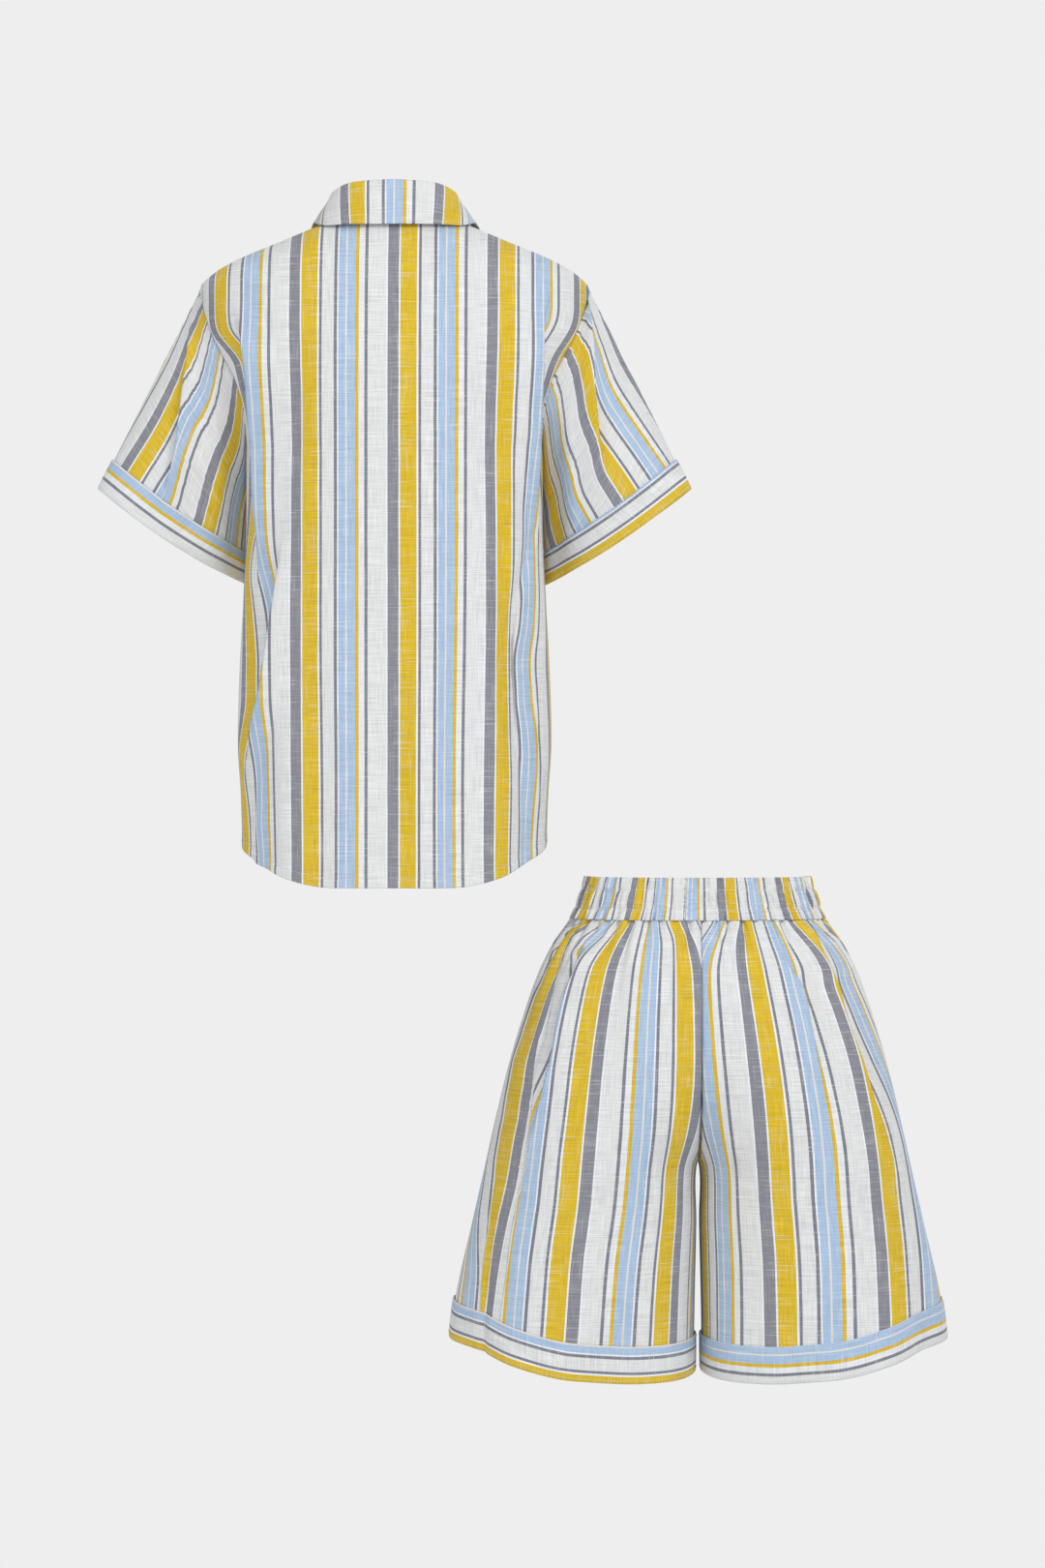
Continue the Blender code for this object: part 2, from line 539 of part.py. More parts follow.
def shorts_points(is_front, side, angle, z, gather=0.0, leg_share=0.0):
    """Outer points and outward normals at angles round the wearer's right half, before they are mirrored."""
    centre = shorts_level("leg_centre", z)
    half = shorts_level("outer", z) - centre
    depth = shorts_level("front" if is_front else "back", z)
    ahead = 1 if is_front else -1
    x = centre + half * round_power(np.cos(angle))
    y = depth * round_power(np.sin(angle))
    normal = unit(np.column_stack([depth * np.cos(angle), half * np.sin(angle)]))
    out, along = fold_shift(SHORTS_FRONT_FOLDS if is_front else SHORTS_BACK_FOLDS, x, np.full_like(x, side), z)
    out = out + gather * np.where(np.arange(len(angle)) % 2, -1, 1)
    degrees = np.degrees(angle)
    flute = smoothstep((180 - degrees) / LEG_FLUTE_ENDS[1]) * smoothstep(degrees / LEG_FLUTE_ENDS[0])
    out = out + LEG_FLUTE_DEPTH * leg_share * flute * np.cos(2 * math.pi * LEG_FLUTES * degrees / 180)
    behind_seam = smoothstep(degrees / SEAM_CALM)
    out = np.where(np.abs(gather) > 0, out, out * behind_seam)
    x = x + normal[:, 0] * out + normal[:, 1] * along * behind_seam
    y = y + normal[:, 1] * out - normal[:, 0] * along * behind_seam
    if is_front:
        drop = smoothstep(degrees / 90) * smoothstep(1 + (z + WAISTBAND) / FRONT_DROP_REACH)
        z = z - FRONT_DROP * drop
    points = np.column_stack([x, y * ahead, np.broadcast_to(z, x.shape)])
    return points, np.column_stack([normal[:, 0], normal[:, 1] * ahead, np.zeros(len(x))])


def leg_angles():
    """Angles round a leg from its outer seam to its inner one, which carry on from the lowest row of the hips."""
    angle = shorts_angles(HIP_LEVELS[-1], PANEL_COLUMNS, SEAM / 2)
    quarter = math.pi / 2
    return np.where(angle > quarter, quarter + (angle - quarter) * quarter / (angle[-1] - quarter), angle)


def leg_length(angle):
    return CROTCH - smooth_table(HEM_AROUND, HEM_AROUND_COLUMNS, "z", np.degrees(angle))


def leg_levels(angle, share):
    """Levels of a leg's row: straight at the crotch and bent into the hem's curve lower down."""
    return CROTCH - leg_length(angle) * share


def band_shares(angle):
    return [1 - LEG_BAND * up / leg_length(angle) for up in CUFF_ROWS]


def placed(points, side):
    return mirrored(points, side) + np.array(WAIST_AT)


def shorts_panel(is_front, side, finish):
    rows = []
    top_count = 2 * GATHERS_IN_PANEL + 1
    for z, gather in GATHER_ROWS:
        rows.append(shorts_points(is_front, side, shorts_angles(z, top_count, SEAM / 2), z, gather))
    for z in HIP_LEVELS:
        rows.append(shorts_points(is_front, side, shorts_angles(z, PANEL_COLUMNS, SEAM / 2), z))
    angle = leg_angles()
    for share in (*LEG_SHARES, *band_shares(angle)[:-1], 1 - TUCK / leg_length(angle)):
        rows.append(shorts_points(is_front, side, angle, leg_levels(angle, share), leg_share=share))
    trim = SEAM / 2 * (1 if is_front else -1)
    outer, inner = [], []
    for points, normals in rows:
        points = points.copy()
        for end in (0, -1):
            if abs(points[end, 1]) < SEAM:
                points[end, 1] = trim
        outer.append(placed(points, side))
        inside = points - normals * WALL
        inside[:, 1] = np.maximum(inside[:, 1] * np.sign(trim), abs(trim)) * np.sign(trim)
        inside[:, 0] = np.maximum(inside[:, 0], SEAM / 2)
        inner.append(placed(inside, side))
    name = f"shorts_{'front' if is_front else 'back'}_{'right' if side > 0 else 'left'}"
    cloth(name, outer, inner, finish, flipped=is_front != (side > 0))


def leg_band(side, finish):
    """The band round one leg's hem."""
    half = leg_angles()
    outer, inner = [], []
    for share in band_shares(half):
        back, back_normals = shorts_points(False, side, half, leg_levels(half, share), leg_share=share)
        front, front_normals = shorts_points(True, side, half, leg_levels(half, share), leg_share=share)
        points = np.concatenate([back, front[-2:0:-1]])
        normals = np.concatenate([back_normals, front_normals[-2:0:-1]])
        for rows, lift in ((outer, CUFF_LIFT), (inner, CUFF_LIFT - WALL)):
            moved = points + normals * lift
            moved[:, 0] = np.maximum(moved[:, 0], SEAM + CUFF_LIFT - lift)
            rows.append(placed(moved, side))
    cloth(f"shorts_cuff_{'right' if side > 0 else 'left'}", outer, inner, finish, closed=True, flipped=side > 0)


def waistband(finish):
    outer, inner = [], []
    count = 2 * GATHERS_IN_PANEL + 1
    for z, gather in WAISTBAND_ROWS:
        quarters = []
        for is_front, side in ((False, 1), (False, -1), (True, -1), (True, 1)):
            points, normals = shorts_points(is_front, side, shorts_angles(z, count, 0), z, gather)
            pair = (placed(points, side), placed(points - normals * WALL, side))
            if is_front == (side > 0):
                pair = tuple(rows[::-1] for rows in pair)
            quarters.append(pair)
        outer.append(np.concatenate([pair[0][:-1] for pair in quarters]))
        inner.append(np.concatenate([pair[1][:-1] for pair in quarters]))
    cloth("shorts_waistband", outer, inner, finish, closed=True, flipped=True)


def main():
    for obj in list(bpy.data.objects):
        bpy.data.objects.remove(obj)
    cotton = coloured("striped_cotton", CLOTH_COLOUR, CLOTH_ROUGHNESS)
    button = coloured("shell_button", BUTTON_COLOUR, BUTTON_ROUGHNESS)
    shirt_back(cotton)
    for side in (1, -1):
        shirt_front(side, cotton)
    buttons(button_band(cotton), button)
    collar(cotton)
    for side in (1, -1):
        sleeve(side, cotton)
        leg_band(side, cotton)
        for is_front in (False, True):
            shorts_panel(is_front, side, cotton)
    waistband(cotton)


main()
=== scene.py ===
"""Looks of the striped shirt and the gathered shorts: their cloth, stitching and buttons, and the stage.

Metres, +Z up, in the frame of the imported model. Azimuth 0 looks at the backs, and the wearer's right is +X.
"""

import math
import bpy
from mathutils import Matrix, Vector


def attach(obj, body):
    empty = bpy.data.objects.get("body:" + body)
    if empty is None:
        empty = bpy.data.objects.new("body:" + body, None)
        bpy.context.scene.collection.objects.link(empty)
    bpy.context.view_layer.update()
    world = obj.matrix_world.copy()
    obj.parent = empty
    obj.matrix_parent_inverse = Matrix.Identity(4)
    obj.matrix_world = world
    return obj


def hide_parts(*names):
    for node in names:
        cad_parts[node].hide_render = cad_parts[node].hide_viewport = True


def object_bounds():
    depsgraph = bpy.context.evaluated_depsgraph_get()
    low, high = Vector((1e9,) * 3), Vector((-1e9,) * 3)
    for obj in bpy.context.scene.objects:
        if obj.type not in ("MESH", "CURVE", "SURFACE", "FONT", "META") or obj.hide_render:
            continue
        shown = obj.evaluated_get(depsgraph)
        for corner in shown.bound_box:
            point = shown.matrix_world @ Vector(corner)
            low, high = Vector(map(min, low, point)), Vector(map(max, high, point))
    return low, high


bl_info = {
    "name": "Striped shirt and shorts",
    "version": (1, 0, 0),
    "blender": (4, 5, 0),
    "location": "3D View > Sidebar > Garments",
    "description": "Makes the cloth, stitching, buttons and stage of a striped shirt and shorts set",
    "category": "Add Mesh",
}

import bpy
import numpy as np
from bpy.props import FloatProperty, FloatVectorProperty, PointerProperty
from mathutils import Vector

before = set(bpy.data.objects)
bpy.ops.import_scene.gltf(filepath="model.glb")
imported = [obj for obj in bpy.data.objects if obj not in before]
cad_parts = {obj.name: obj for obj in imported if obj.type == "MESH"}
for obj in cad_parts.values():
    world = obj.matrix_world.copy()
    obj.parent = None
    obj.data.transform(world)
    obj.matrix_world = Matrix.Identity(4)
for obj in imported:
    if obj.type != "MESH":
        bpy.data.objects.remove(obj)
CAD_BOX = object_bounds()

WALL = 0.0014            # thickness of the solids' cloth, whose outer face these surfaces lie on
SEAM = 0.0003
LAYER = WALL + SEAM

# Stripes, left to right: the share of one repeat that each takes, and its colour
STRIPES = (
    (10.6, "grey"), (1.6, "edge"), (16.6, "yellow"), (1.8, "edge"), (2.9, "slate"), (12.4, "white"),
    (3.0, "slate"), (1.6, "edge"), (7.2, "blue"), (1.5, "cream"), (8.0, "blue"), (3.7, "gold"),
    (6.0, "pale"), (2.9, "slate"), (18.4, "white"), (1.8, "edge"),
)

# Shirt body, a row for each level: see shirt_section
SHIRT_LEVELS = (
    ("z", "half_width", "back", "back_edge", "front", "front_edge", "turn"),
    (0.004, 0.0805, 0.066, 0.000, 0.020, 0.000, 90),
    (-0.015, 0.126, 0.077, 0.000, 0.040, 0.000, 90),
    (-0.030, 0.162, 0.085, 0.000, 0.052, 0.000, 90),
    (-0.045, 0.188, 0.091, 0.000, 0.061, 0.000, 90),
    (-0.060, 0.201, 0.095, 0.000, 0.069, 0.000, 90),
    (-0.085, 0.195, 0.100, 0.024, 0.081, 0.030, 82),
    (-0.108, 0.187, 0.105, 0.038, 0.091, 0.046, 76),
    (-0.130, 0.176, 0.109, 0.046, 0.100, 0.056, 73),
    (-0.160, 0.161, 0.112, 0.050, 0.110, 0.060, 72),
    (-0.190, 0.153, 0.113, 0.042, 0.117, 0.052, 76),
    (-0.215, 0.152, 0.113, 0.024, 0.120, 0.030, 84),
    (-0.235, 0.153, 0.113, 0.000, 0.121, 0.000, 90),
    (-0.300, 0.153, 0.112, 0.000, 0.121, 0.000, 90),
    (-0.375, 0.156, 0.111, 0.000, 0.119, 0.000, 90),
    (-0.450, 0.160, 0.112, 0.000, 0.118, 0.000, 90),
    (-0.520, 0.162, 0.114, 0.000, 0.118, 0.000, 90),
    (-0.600, 0.159, 0.116, 0.000, 0.118, 0.000, 90),
    (-0.675, 0.157, 0.118, 0.000, 0.119, 0.000, 90),
)
SHIRT_POWER = 2.35
NECK_Z, HEM_Z = 0.004, -0.675
ARMHOLE = (-0.060, -0.0705, -0.090, -0.113, -0.140, -0.168, -0.195, -0.218, -0.235)
HEM_RISE, HEM_RISE_START, HEM_RISE_END, HEM_BLEND = 0.047, 0.27, 1.06, 0.16
FLUTE_DEPTH, FLUTES, FLUTE_TOP, FLUTE_REACH, FLAT_BY_BAND = 0.0030, 3.0, -0.18, 0.50, 0.16
STRAIGHT_ABOVE, STRAIGHT_BLEND = -0.075, 0.060  # stripes run straight up over the shoulders from here

# Folds, in metres: the side, the width, how far the fold stands out, how far its edge rolls over away from
# the centre, and its path down the cloth: the level, how far out the fold's edge is seen, and its strength.
PATH = ("z", "x", "strength")
BACK_FOLDS = (
    (-1, 0.0085, 0.01, 0.028, (
        (-0.078, 0.157, 0), (-0.103, 0.1553, 0.35), (-0.124, 0.1525, 0.75), (-0.146, 0.1495, 1),
        (-0.205, 0.147, 1), (-0.265, 0.1444, 0.9), (-0.326, 0.1424, 0.6), (-0.4, 0.139, 0))),
    (1, 0.0085, 0.01, 0.03, (
        (-0.062, 0.16, 0), (-0.077, 0.1558, 0.2), (-0.092, 0.1535, 0.4), (-0.115, 0.1532, 0.66),
        (-0.15, 0.153, 0.9), (-0.205, 0.1525, 1), (-0.26, 0.1515, 0.6), (-0.33, 0.149, 0))),
    (-1, 0.0085, 0.0085, 0.022, (
        (-0.318, 0.107, 0), (-0.352, 0.1145, 0.45), (-0.4, 0.122, 0.85), (-0.45, 0.13, 1),
        (-0.482, 0.136, 1), (-0.503, 0.1435, 0.9), (-0.522, 0.1485, 0.7), (-0.56, 0.152, 0.3),
        (-0.61, 0.152, 0))),
    (1, 0.0085, -0.01, 0.013, (
        (-0.3, 0.146, 0), (-0.345, 0.138, 0.35), (-0.4, 0.128, 0.8), (-0.44, 0.1255, 0.95),
        (-0.48, 0.1285, 1), (-0.52, 0.13, 0.8), (-0.565, 0.133, 0.45), (-0.64, 0.136, 0))),
    (1, 0.006, -0.002, 0.006, (
        (-0.3, 0.112, 0), (-0.37, 0.1145, 0.9), (-0.46, 0.116, 1), (-0.57, 0.117, 0))),
    (1, 0.008, 0.003, 0.01, ((-0.46, 0.147, 0), (-0.525, 0.15, 1), (-0.64, 0.149, 0))),
    (-1, 0.009, 0.003, 0.007, ((-0.575, 0.137, 0), (-0.63, 0.14, 1), (-0.69, 0.141, 0.5))),
    (-1, 0.012, -0.004, 0, ((-0.24, 0.132, 0), (-0.36, 0.128, 1), (-0.48, 0.134, 0))),
    (1, 0.016, 0.003, 0, ((-0.18, 0.118, 0), (-0.29, 0.122, 1), (-0.43, 0.118, 0))),
    (-1, 0.015, -0.003, 0, ((-0.08, 0.092, 0), (-0.17, 0.096, 1), (-0.27, 0.104, 0))),
    (1, 0.015, -0.003, 0, ((-0.07, 0.09, 0), (-0.17, 0.094, 1), (-0.31, 0.102, 0))),
    (-1, 0.019, 0.0028, 0, ((-0.29, 0.062, 0), (-0.42, 0.066, 1), (-0.54, 0.062, 0))),
    (1, 0.018, -0.0025, 0, ((-0.33, 0.072, 0), (-0.48, 0.07, 1), (-0.62, 0.078, 0))),
    (-1, 0.016, 0.002, 0, ((-0.01, 0.044, 0), (-0.08, 0.05, 1), (-0.18, 0.052, 0))),
    (1, 0.016, 0.002, 0, ((-0.01, 0.036, 0), (-0.08, 0.044, 1), (-0.16, 0.05, 0))),
    (-1, 0.014, -0.0022, 0, ((-0.4, 0.02, 0), (-0.56, 0.018, 1), (-0.69, 0.024, 0.4))),
    (1, 0.016, 0.0022, 0, ((-0.43, 0.03, 0), (-0.59, 0.036, 1), (-0.69, 0.038, 0.5))),
)
FRONT_FOLDS = (
    (-1, 0.01, 0.008, 0.02, ((-0.075, 0.152, 0), (-0.16, 0.15, 1), (-0.26, 0.148, 0.6), (-0.36, 0.145, 0))),
    (1, 0.01, 0.008, 0.018, (
        (-0.072, 0.153, 0), (-0.15, 0.151, 1), (-0.24, 0.149, 0.7), (-0.34, 0.146, 0))),
    (-1, 0.011, 0.008, 0.015, ((-0.34, 0.11, 0), (-0.46, 0.13, 1), (-0.56, 0.144, 0.6), (-0.63, 0.146, 0))),
    (1, 0.011, 0.008, 0.014, (
        (-0.31, 0.108, 0), (-0.43, 0.127, 1), (-0.54, 0.142, 0.6), (-0.61, 0.145, 0))),
    (-1, 0.02, -0.0035, 0, ((-0.12, 0.07, 0), (-0.26, 0.074, 1), (-0.43, 0.066, 0))),
    (1, 0.018, 0.0035, 0, ((-0.14, 0.078, 0), (-0.3, 0.074, 1), (-0.46, 0.07, 0))),
    (-1, 0.02, 0.003, 0, ((-0.41, 0.06, 0), (-0.58, 0.064, 1), (-0.69, 0.068, 0.4))),
    (1, 0.018, -0.0028, 0, ((-0.39, 0.052, 0), (-0.56, 0.06, 1), (-0.69, 0.066, 0.4))),
)
SEAM_TAPER = 0.016       # folds die away this close to a side seam

# Neckline, button band, buttons and collar
NECKLINE = (
    ("z", "half_width"), (0.004, 0.0805), (-0.015, 0.078), (-0.03, 0.072), (-0.045, 0.061),
    (-0.06, 0.037), (-0.0705, 0.004),
)
UNDERLAP, BAND_HALF, BAND_TOP, BAND_LIFT = 0.0085, 0.013, -0.0715, LAYER + 0.0006
BUTTONS, BUTTON_TOP, BUTTON_PITCH, BUTTON_RADIUS, BUTTON_THICK = 6, -0.104, 0.091, 0.0058, 0.0024
BUTTON_CLEAR = 0.0006
COLLAR = (
    ("along", "roll_in", "roll_up", "edge_x", "edge_y", "edge_z"),
    (0.00, 0.004, 0.0392, 0.0000, -0.0765, -0.0008),
    (0.15, 0.006, 0.0376, 0.0375, -0.0735, -0.0005),
    (0.30, 0.013, 0.0310, 0.0655, -0.0580, 0.0000),
    (0.42, 0.018, 0.0265, 0.0790, -0.0350, 0.0042),
    (0.52, 0.018, 0.0245, 0.0845, 0.0015, 0.0095),
    (0.62, 0.017, 0.0230, 0.0890, 0.0320, 0.0020),
    (0.74, 0.011, 0.0215, 0.0930, 0.0640, -0.0380),
    (0.87, 0.004, 0.0180, 0.0830, 0.0880, -0.0780),
    (1.00, 0.000, 0.0135, 0.0580, 0.1000, -0.1180),
)
COLLAR_EASE = (0.060, 0.55)   # past this far round, the collar's stripes lie this much wider
ROLL_RADIUS, LEAF_CLEAR = 0.0028, 0.0026

# Sleeves and cuffs
OPENING_OUTER, OPENING_INNER = (0.3045, -0.004, -0.266), (0.1570, 0.052, -0.362)
OPENING_HALF_DEPTH, OPENING_SAG_BACK, OPENING_SAG_FRONT = 0.052, 0.008, 0.003
UNDERARM_OUT, UNDERARM_AHEAD, UNDERARM_REACH = -0.0040, 0.020, 0.24
CUFF_HEIGHT, CUFF_LIFT, TUCK = 0.034, LAYER + 0.0003, 0.003

# The same for the sleeves. Their paths give the share of the way down, the place round, and the strength.
SLEEVE_FOLDS = (
    (-1, 0.0085, 0.0075, 0.022, (
        (0.04, 0.04, 0), (0.135, 0.095, 0.22), (0.2, 0.13, 0.42), (0.3, 0.159, 0.75), (0.42, 0.176, 0.98),
        (0.51, 0.186, 1), (0.7, 0.203, 0.75), (0.84, 0.216, 0.35), (0.97, 0.225, 0))),
    (1, 0.0085, 0.0075, 0.022, (
        (0, 0.069, 0.5), (0.04, 0.108, 0.7), (0.105, 0.139, 0.9), (0.18, 0.163, 1), (0.315, 0.19, 1),
        (0.43, 0.205, 1), (0.51, 0.215, 0.9), (0.61, 0.227, 0.6), (0.7, 0.234, 0.3), (0.85, 0.237, 0))),
    (-1, 0.015, -0.004, 0, ((0.2, 0.38, 0), (0.6, 0.392, 1), (1, 0.4, 0.2))),
    (1, 0.015, -0.0045, 0, ((0.2, 0.36, 0), (0.6, 0.378, 1), (1, 0.39, 0.2))),
    (-1, 0.011, 0.003, 0.005, ((0.1, 0.23, 0), (0.4, 0.29, 1), (0.8, 0.35, 0))),
    (1, 0.011, 0.003, 0.005, ((0.1, 0.25, 0), (0.45, 0.3, 1), (0.9, 0.35, 0))),
    (-1, 0.011, 0.006, -0.01, ((0.02, 0.92, 0.4), (0.5, 0.84, 1), (0.97, 0.76, 0))),
    (1, 0.011, 0.006, -0.01, ((0.02, 0.91, 0.4), (0.5, 0.83, 1), (0.97, 0.75, 0))),
    (-1, 0.014, -0.0035, 0, ((0.2, 0.64, 0), (0.6, 0.63, 1), (1, 0.62, 0.2))),
    (1, 0.014, -0.0035, 0, ((0.2, 0.65, 0), (0.6, 0.635, 1), (1, 0.62, 0.2))),
)
# How far the sleeves' stripes swing in towards the body
SLEEVE_SWING = (
    ("down", "left", "right"), (0, -0.004, 0.003), (0.15, 0.004, 0.013), (0.35, 0.011, 0.021),
    (0.55, 0.01, 0.016), (0.8, 0.005, 0.007), (1, 0, 0),
)

# Shorts, levels measured down from the waist's top edge: see shorts_rows
WAIST_AT = (0.313, 0.0, -0.665)
SHORTS_LEVELS = (
    ("z", "outer", "leg_centre", "back", "front"),
    (0.000, 0.1165, 0.000, 0.088, 0.084),
    (-0.043, 0.1320, 0.000, 0.099, 0.094),
    (-0.070, 0.1500, 0.002, 0.108, 0.101),
    (-0.100, 0.1645, 0.010, 0.116, 0.106),
    (-0.150, 0.1820, 0.032, 0.123, 0.110),
    (-0.205, 0.1980, 0.064, 0.125, 0.112),
    (-0.255, 0.2100, 0.092, 0.124, 0.112),
    (-0.300, 0.2200, 0.1107, 0.121, 0.111),
    (-0.355, 0.2325, 0.1170, 0.117, 0.109),
    (-0.445, 0.2520, 0.1277, 0.115, 0.109),
    (-0.525, 0.2600, 0.1322, 0.114, 0.109),
)
SHORTS_POWER, CROTCH = 2.2, -0.300
HEM_AROUND = (
    ("degrees", "z"), (0, -0.472), (42, -0.48), (66, -0.493), (92, -0.5065), (122, -0.5114),
    (150, -0.5106), (180, -0.5086),
)
LEG_BAND, WAISTBAND, FRONT_DROP, FRONT_DROP_REACH = 0.038, 0.043, 0.008, 0.12
LEG_FLUTES, LEG_FLUTE_DEPTH, LEG_FLUTE_ENDS = 2.5, 0.0045, (45, 60)
SHORTS_BACK_FOLDS = (
    (-1, 0.009, 0.0095, 0.026, (
        (-0.055, 0.112, 0), (-0.0715, 0.1189, 0.4), (-0.0914, 0.127, 0.8), (-0.1166, 0.1378, 1),
        (-0.149, 0.1459, 1), (-0.18, 0.1513, 0.9), (-0.207, 0.1585, 0.7), (-0.239, 0.1657, 0.4),
        (-0.285, 0.177, 0))),
    (-1, 0.0045, -0.0035, 0, (
        (-0.04, 0.127, 0.5), (-0.0805, 0.1423, 1), (-0.1166, 0.1526, 1), (-0.162, 0.1612, 0.8),
        (-0.194, 0.1702, 0.4), (-0.235, 0.18, 0))),
    (-1, 0.006, -0.003, 0, (
        (-0.29, 0.205, 0), (-0.35, 0.2135, 0.4), (-0.43, 0.2205, 0.9), (-0.54, 0.2225, 1))),
    (1, 0.009, 0.0075, 0.012, (
        (-0.045, 0.074, 0.3), (-0.08, 0.0814, 0.6), (-0.113, 0.1007, 1), (-0.1405, 0.106, 0.9),
        (-0.1835, 0.1135, 0.6), (-0.216, 0.1178, 0.4), (-0.28, 0.1225, 0))),
    (1, 0.0095, 0.009, 0.024, (
        (-0.04, 0.111, 0.2), (-0.06, 0.118, 0.5), (-0.0804, 0.1271, 0.8), (-0.11, 0.139, 1),
        (-0.1405, 0.1465, 1), (-0.1835, 0.1626, 0.9), (-0.226, 0.176, 0.6), (-0.269, 0.1895, 0.3),
        (-0.33, 0.208, 0))),
    (-1, 0.011, 0.0045, 0.004, ((-0.055, 0.06, 0), (-0.1, 0.066, 1), (-0.22, 0.07, 0))),
    (1, 0.011, 0.004, 0.003, ((-0.05, 0.03, 0), (-0.1, 0.036, 1), (-0.2, 0.04, 0))),
    (-1, 0.011, -0.0035, 0, ((-0.05, 0.03, 0), (-0.11, 0.034, 1), (-0.25, 0.04, 0))),
    (-1, 0.02, 0.003, 0, ((-0.32, 0.12, 0), (-0.44, 0.118, 1), (-0.52, 0.12, 0.3))),
    (1, 0.018, 0.003, 0, ((-0.32, 0.07, 0), (-0.44, 0.074, 1), (-0.52, 0.078, 0.3))),
    (1, 0.018, -0.003, 0, ((-0.29, 0.165, 0), (-0.42, 0.175, 1), (-0.52, 0.18, 0.3))),
)
# Tucks that only hide cloth: the side, how much, and the path
SHORTS_TUCKS = (
    (-1, 0.02, (
        (-0.056, 0.1309, 0), (-0.073, 0.1365, 1), (-0.0892, 0.1418, 1), (-0.1217, 0.1556, 0.45),
        (-0.1541, 0.1664, 0.35), (-0.1865, 0.1769, 0))),
    (-1, 0.032, (
        (-0.155, 0.164, 0), (-0.1865, 0.168, 0.3), (-0.2189, 0.171, 0.72), (-0.2514, 0.1752, 1),
        (-0.286, 0.1792, 1), (-0.3517, 0.1911, 0.8), (-0.4175, 0.1998, 0.65), (-0.525, 0.212, 0.5))),
    (-1, 0.03, ((-0.29, 0.205, 0), (-0.35, 0.2135, 0.3), (-0.43, 0.2235, 0.9), (-0.54, 0.2255, 1))),
)
SHORTS_FRONT_FOLDS = (
    (-1, 0.011, 0.01, 0.02, (
        (-0.055, 0.094, 0), (-0.15, 0.134, 1), (-0.26, 0.164, 0.6), (-0.37, 0.176, 0))),
    (1, 0.011, 0.01, 0.02, ((-0.055, 0.1, 0), (-0.14, 0.138, 1), (-0.24, 0.168, 0.6), (-0.34, 0.184, 0))),
    (-1, 0.011, 0.0045, 0.003, ((-0.05, 0.04, 0), (-0.11, 0.046, 1), (-0.22, 0.052, 0))),
    (1, 0.011, -0.004, 0, ((-0.05, 0.046, 0), (-0.11, 0.05, 1), (-0.24, 0.056, 0))),
    (-1, 0.02, 0.003, 0, ((-0.32, 0.09, 0), (-0.44, 0.096, 1), (-0.52, 0.1, 0.3))),
    (1, 0.02, 0.003, 0, ((-0.32, 0.11, 0), (-0.44, 0.106, 1), (-0.52, 0.104, 0.3))),
)
GATHERS_IN_PANEL = 13
# The lines that the shorts' stripes are laid out from
GRAIN = (
    ("z", "left", "right"), (-0.043, 0.0574, 0.046), (-0.096, 0.069, 0.055), (-0.182, 0.0765, 0.0685),
    (-0.253, 0.081, 0.0765), (-0.322, 0.0865, 0.081), (-0.39, 0.0955, 0.086), (-0.47, 0.1015, 0.088),
)
# Cloth gathered into each length of a row
FULLNESS = (
    ("z", "cloth"), (-0.043, 1.6), (-0.06, 1.48), (-0.096, 1.24), (-0.15, 1.12), (-0.205, 1.06),
    (-0.3, 1), (-0.525, 1),
)
# How far the depth of the cloth beside the side seams is left out
FLAT = (
    ("z", "left", "right"), (-0.043, 0.5, 0.1), (-0.12, 0.6, 0.35), (-0.2, 0.6, 0.5), (-0.3, 0.5, 0.6),
    (-0.4, 0.25, 0.65), (-0.525, 0.1, 0.65),
)
FLAT_REACH, FLAT_SOFT = 0.130, 0.070     # from this far to the seam, with a soft start
WAISTBAND_FULLNESS = 1.95    # cloth gathered into each length of the waistband
# The waistband's stripes across its back, left and right of the joint: how far out, and how many repeats
WAIST_JOINT = -0.0152
WAIST_LEFT = (
    ("x", "repeats"), (-0.128, -1.45), (-0.1199, -0.947), (-0.1139, -0.795), (-0.0625, 0.205),
    (-0.0418, 0.5885), (-0.0152, 1.04),
)
WAIST_RIGHT = (
    ("x", "repeats"), (-0.0152, -0.52), (-0.0032, -0.31), (0.0303, 0.205), (0.0547, 0.5885),
    (0.0822, 1.053), (0.091, 1.205), (0.1058, 1.5885), (0.116, 1.9), (0.124, 2.25),
)

# How deep and wide the cloth dips along a seam, and a stitched hem's step out, its dip and their widths
SEAM_DIP, SEAM_DIP_WIDTH, ARMHOLE_DIP_WIDTH, SLEEVE_LENGTH = 0.0012, 0.003, 0.004, 0.18
HEM_STEP, HEM_STEP_WIDTH, HEM_DIP, HEM_DIP_WIDTH = 0.0006, 0.003, 0.0007, 0.0016
HALF_ROUND = 0.2             # about the length of a shirt row from its centre to its seam
TUCK_EDGE = 0.0024           # a tuck hides its cloth within this much of its edge
GRAIN_SEARCH = 0.1           # the grain line never lies in this first share of a row
# Gathers below the waistband: the least and the most of each one's reach down, depth, width and lean
GATHER_REACH, GATHER_DEPTH = (0.025, 0.085), (0.0026, 0.0046)
GATHER_WIDTH, GATHER_LEAN = (0.22, 0.32), (-0.25, 0.25)
GATHER_SINK, GATHER_SINK_REACH = 0.0034, 0.05
# The waistband's rows of stitching below its top edge, their dip, and its pleats, fine pleats and ripples
WAISTBAND_STITCHES, STITCH_DIP, STITCH_DIP_WIDTH = (0.0125, 0.0315), 0.0007, 0.0012
PLEAT, FINE_PLEAT, RIPPLE, PLEAT_SINK = 0.0021, 0.0010, 0.0006, 0.0010
# Between the rows: the seed of the pleats, and where their swell starts and how much of half a wave it takes
WAISTBAND_ZONES = ((31, 0.5, 0.5), (33, 0.0, 1.0), (35, 0.0, 0.5))
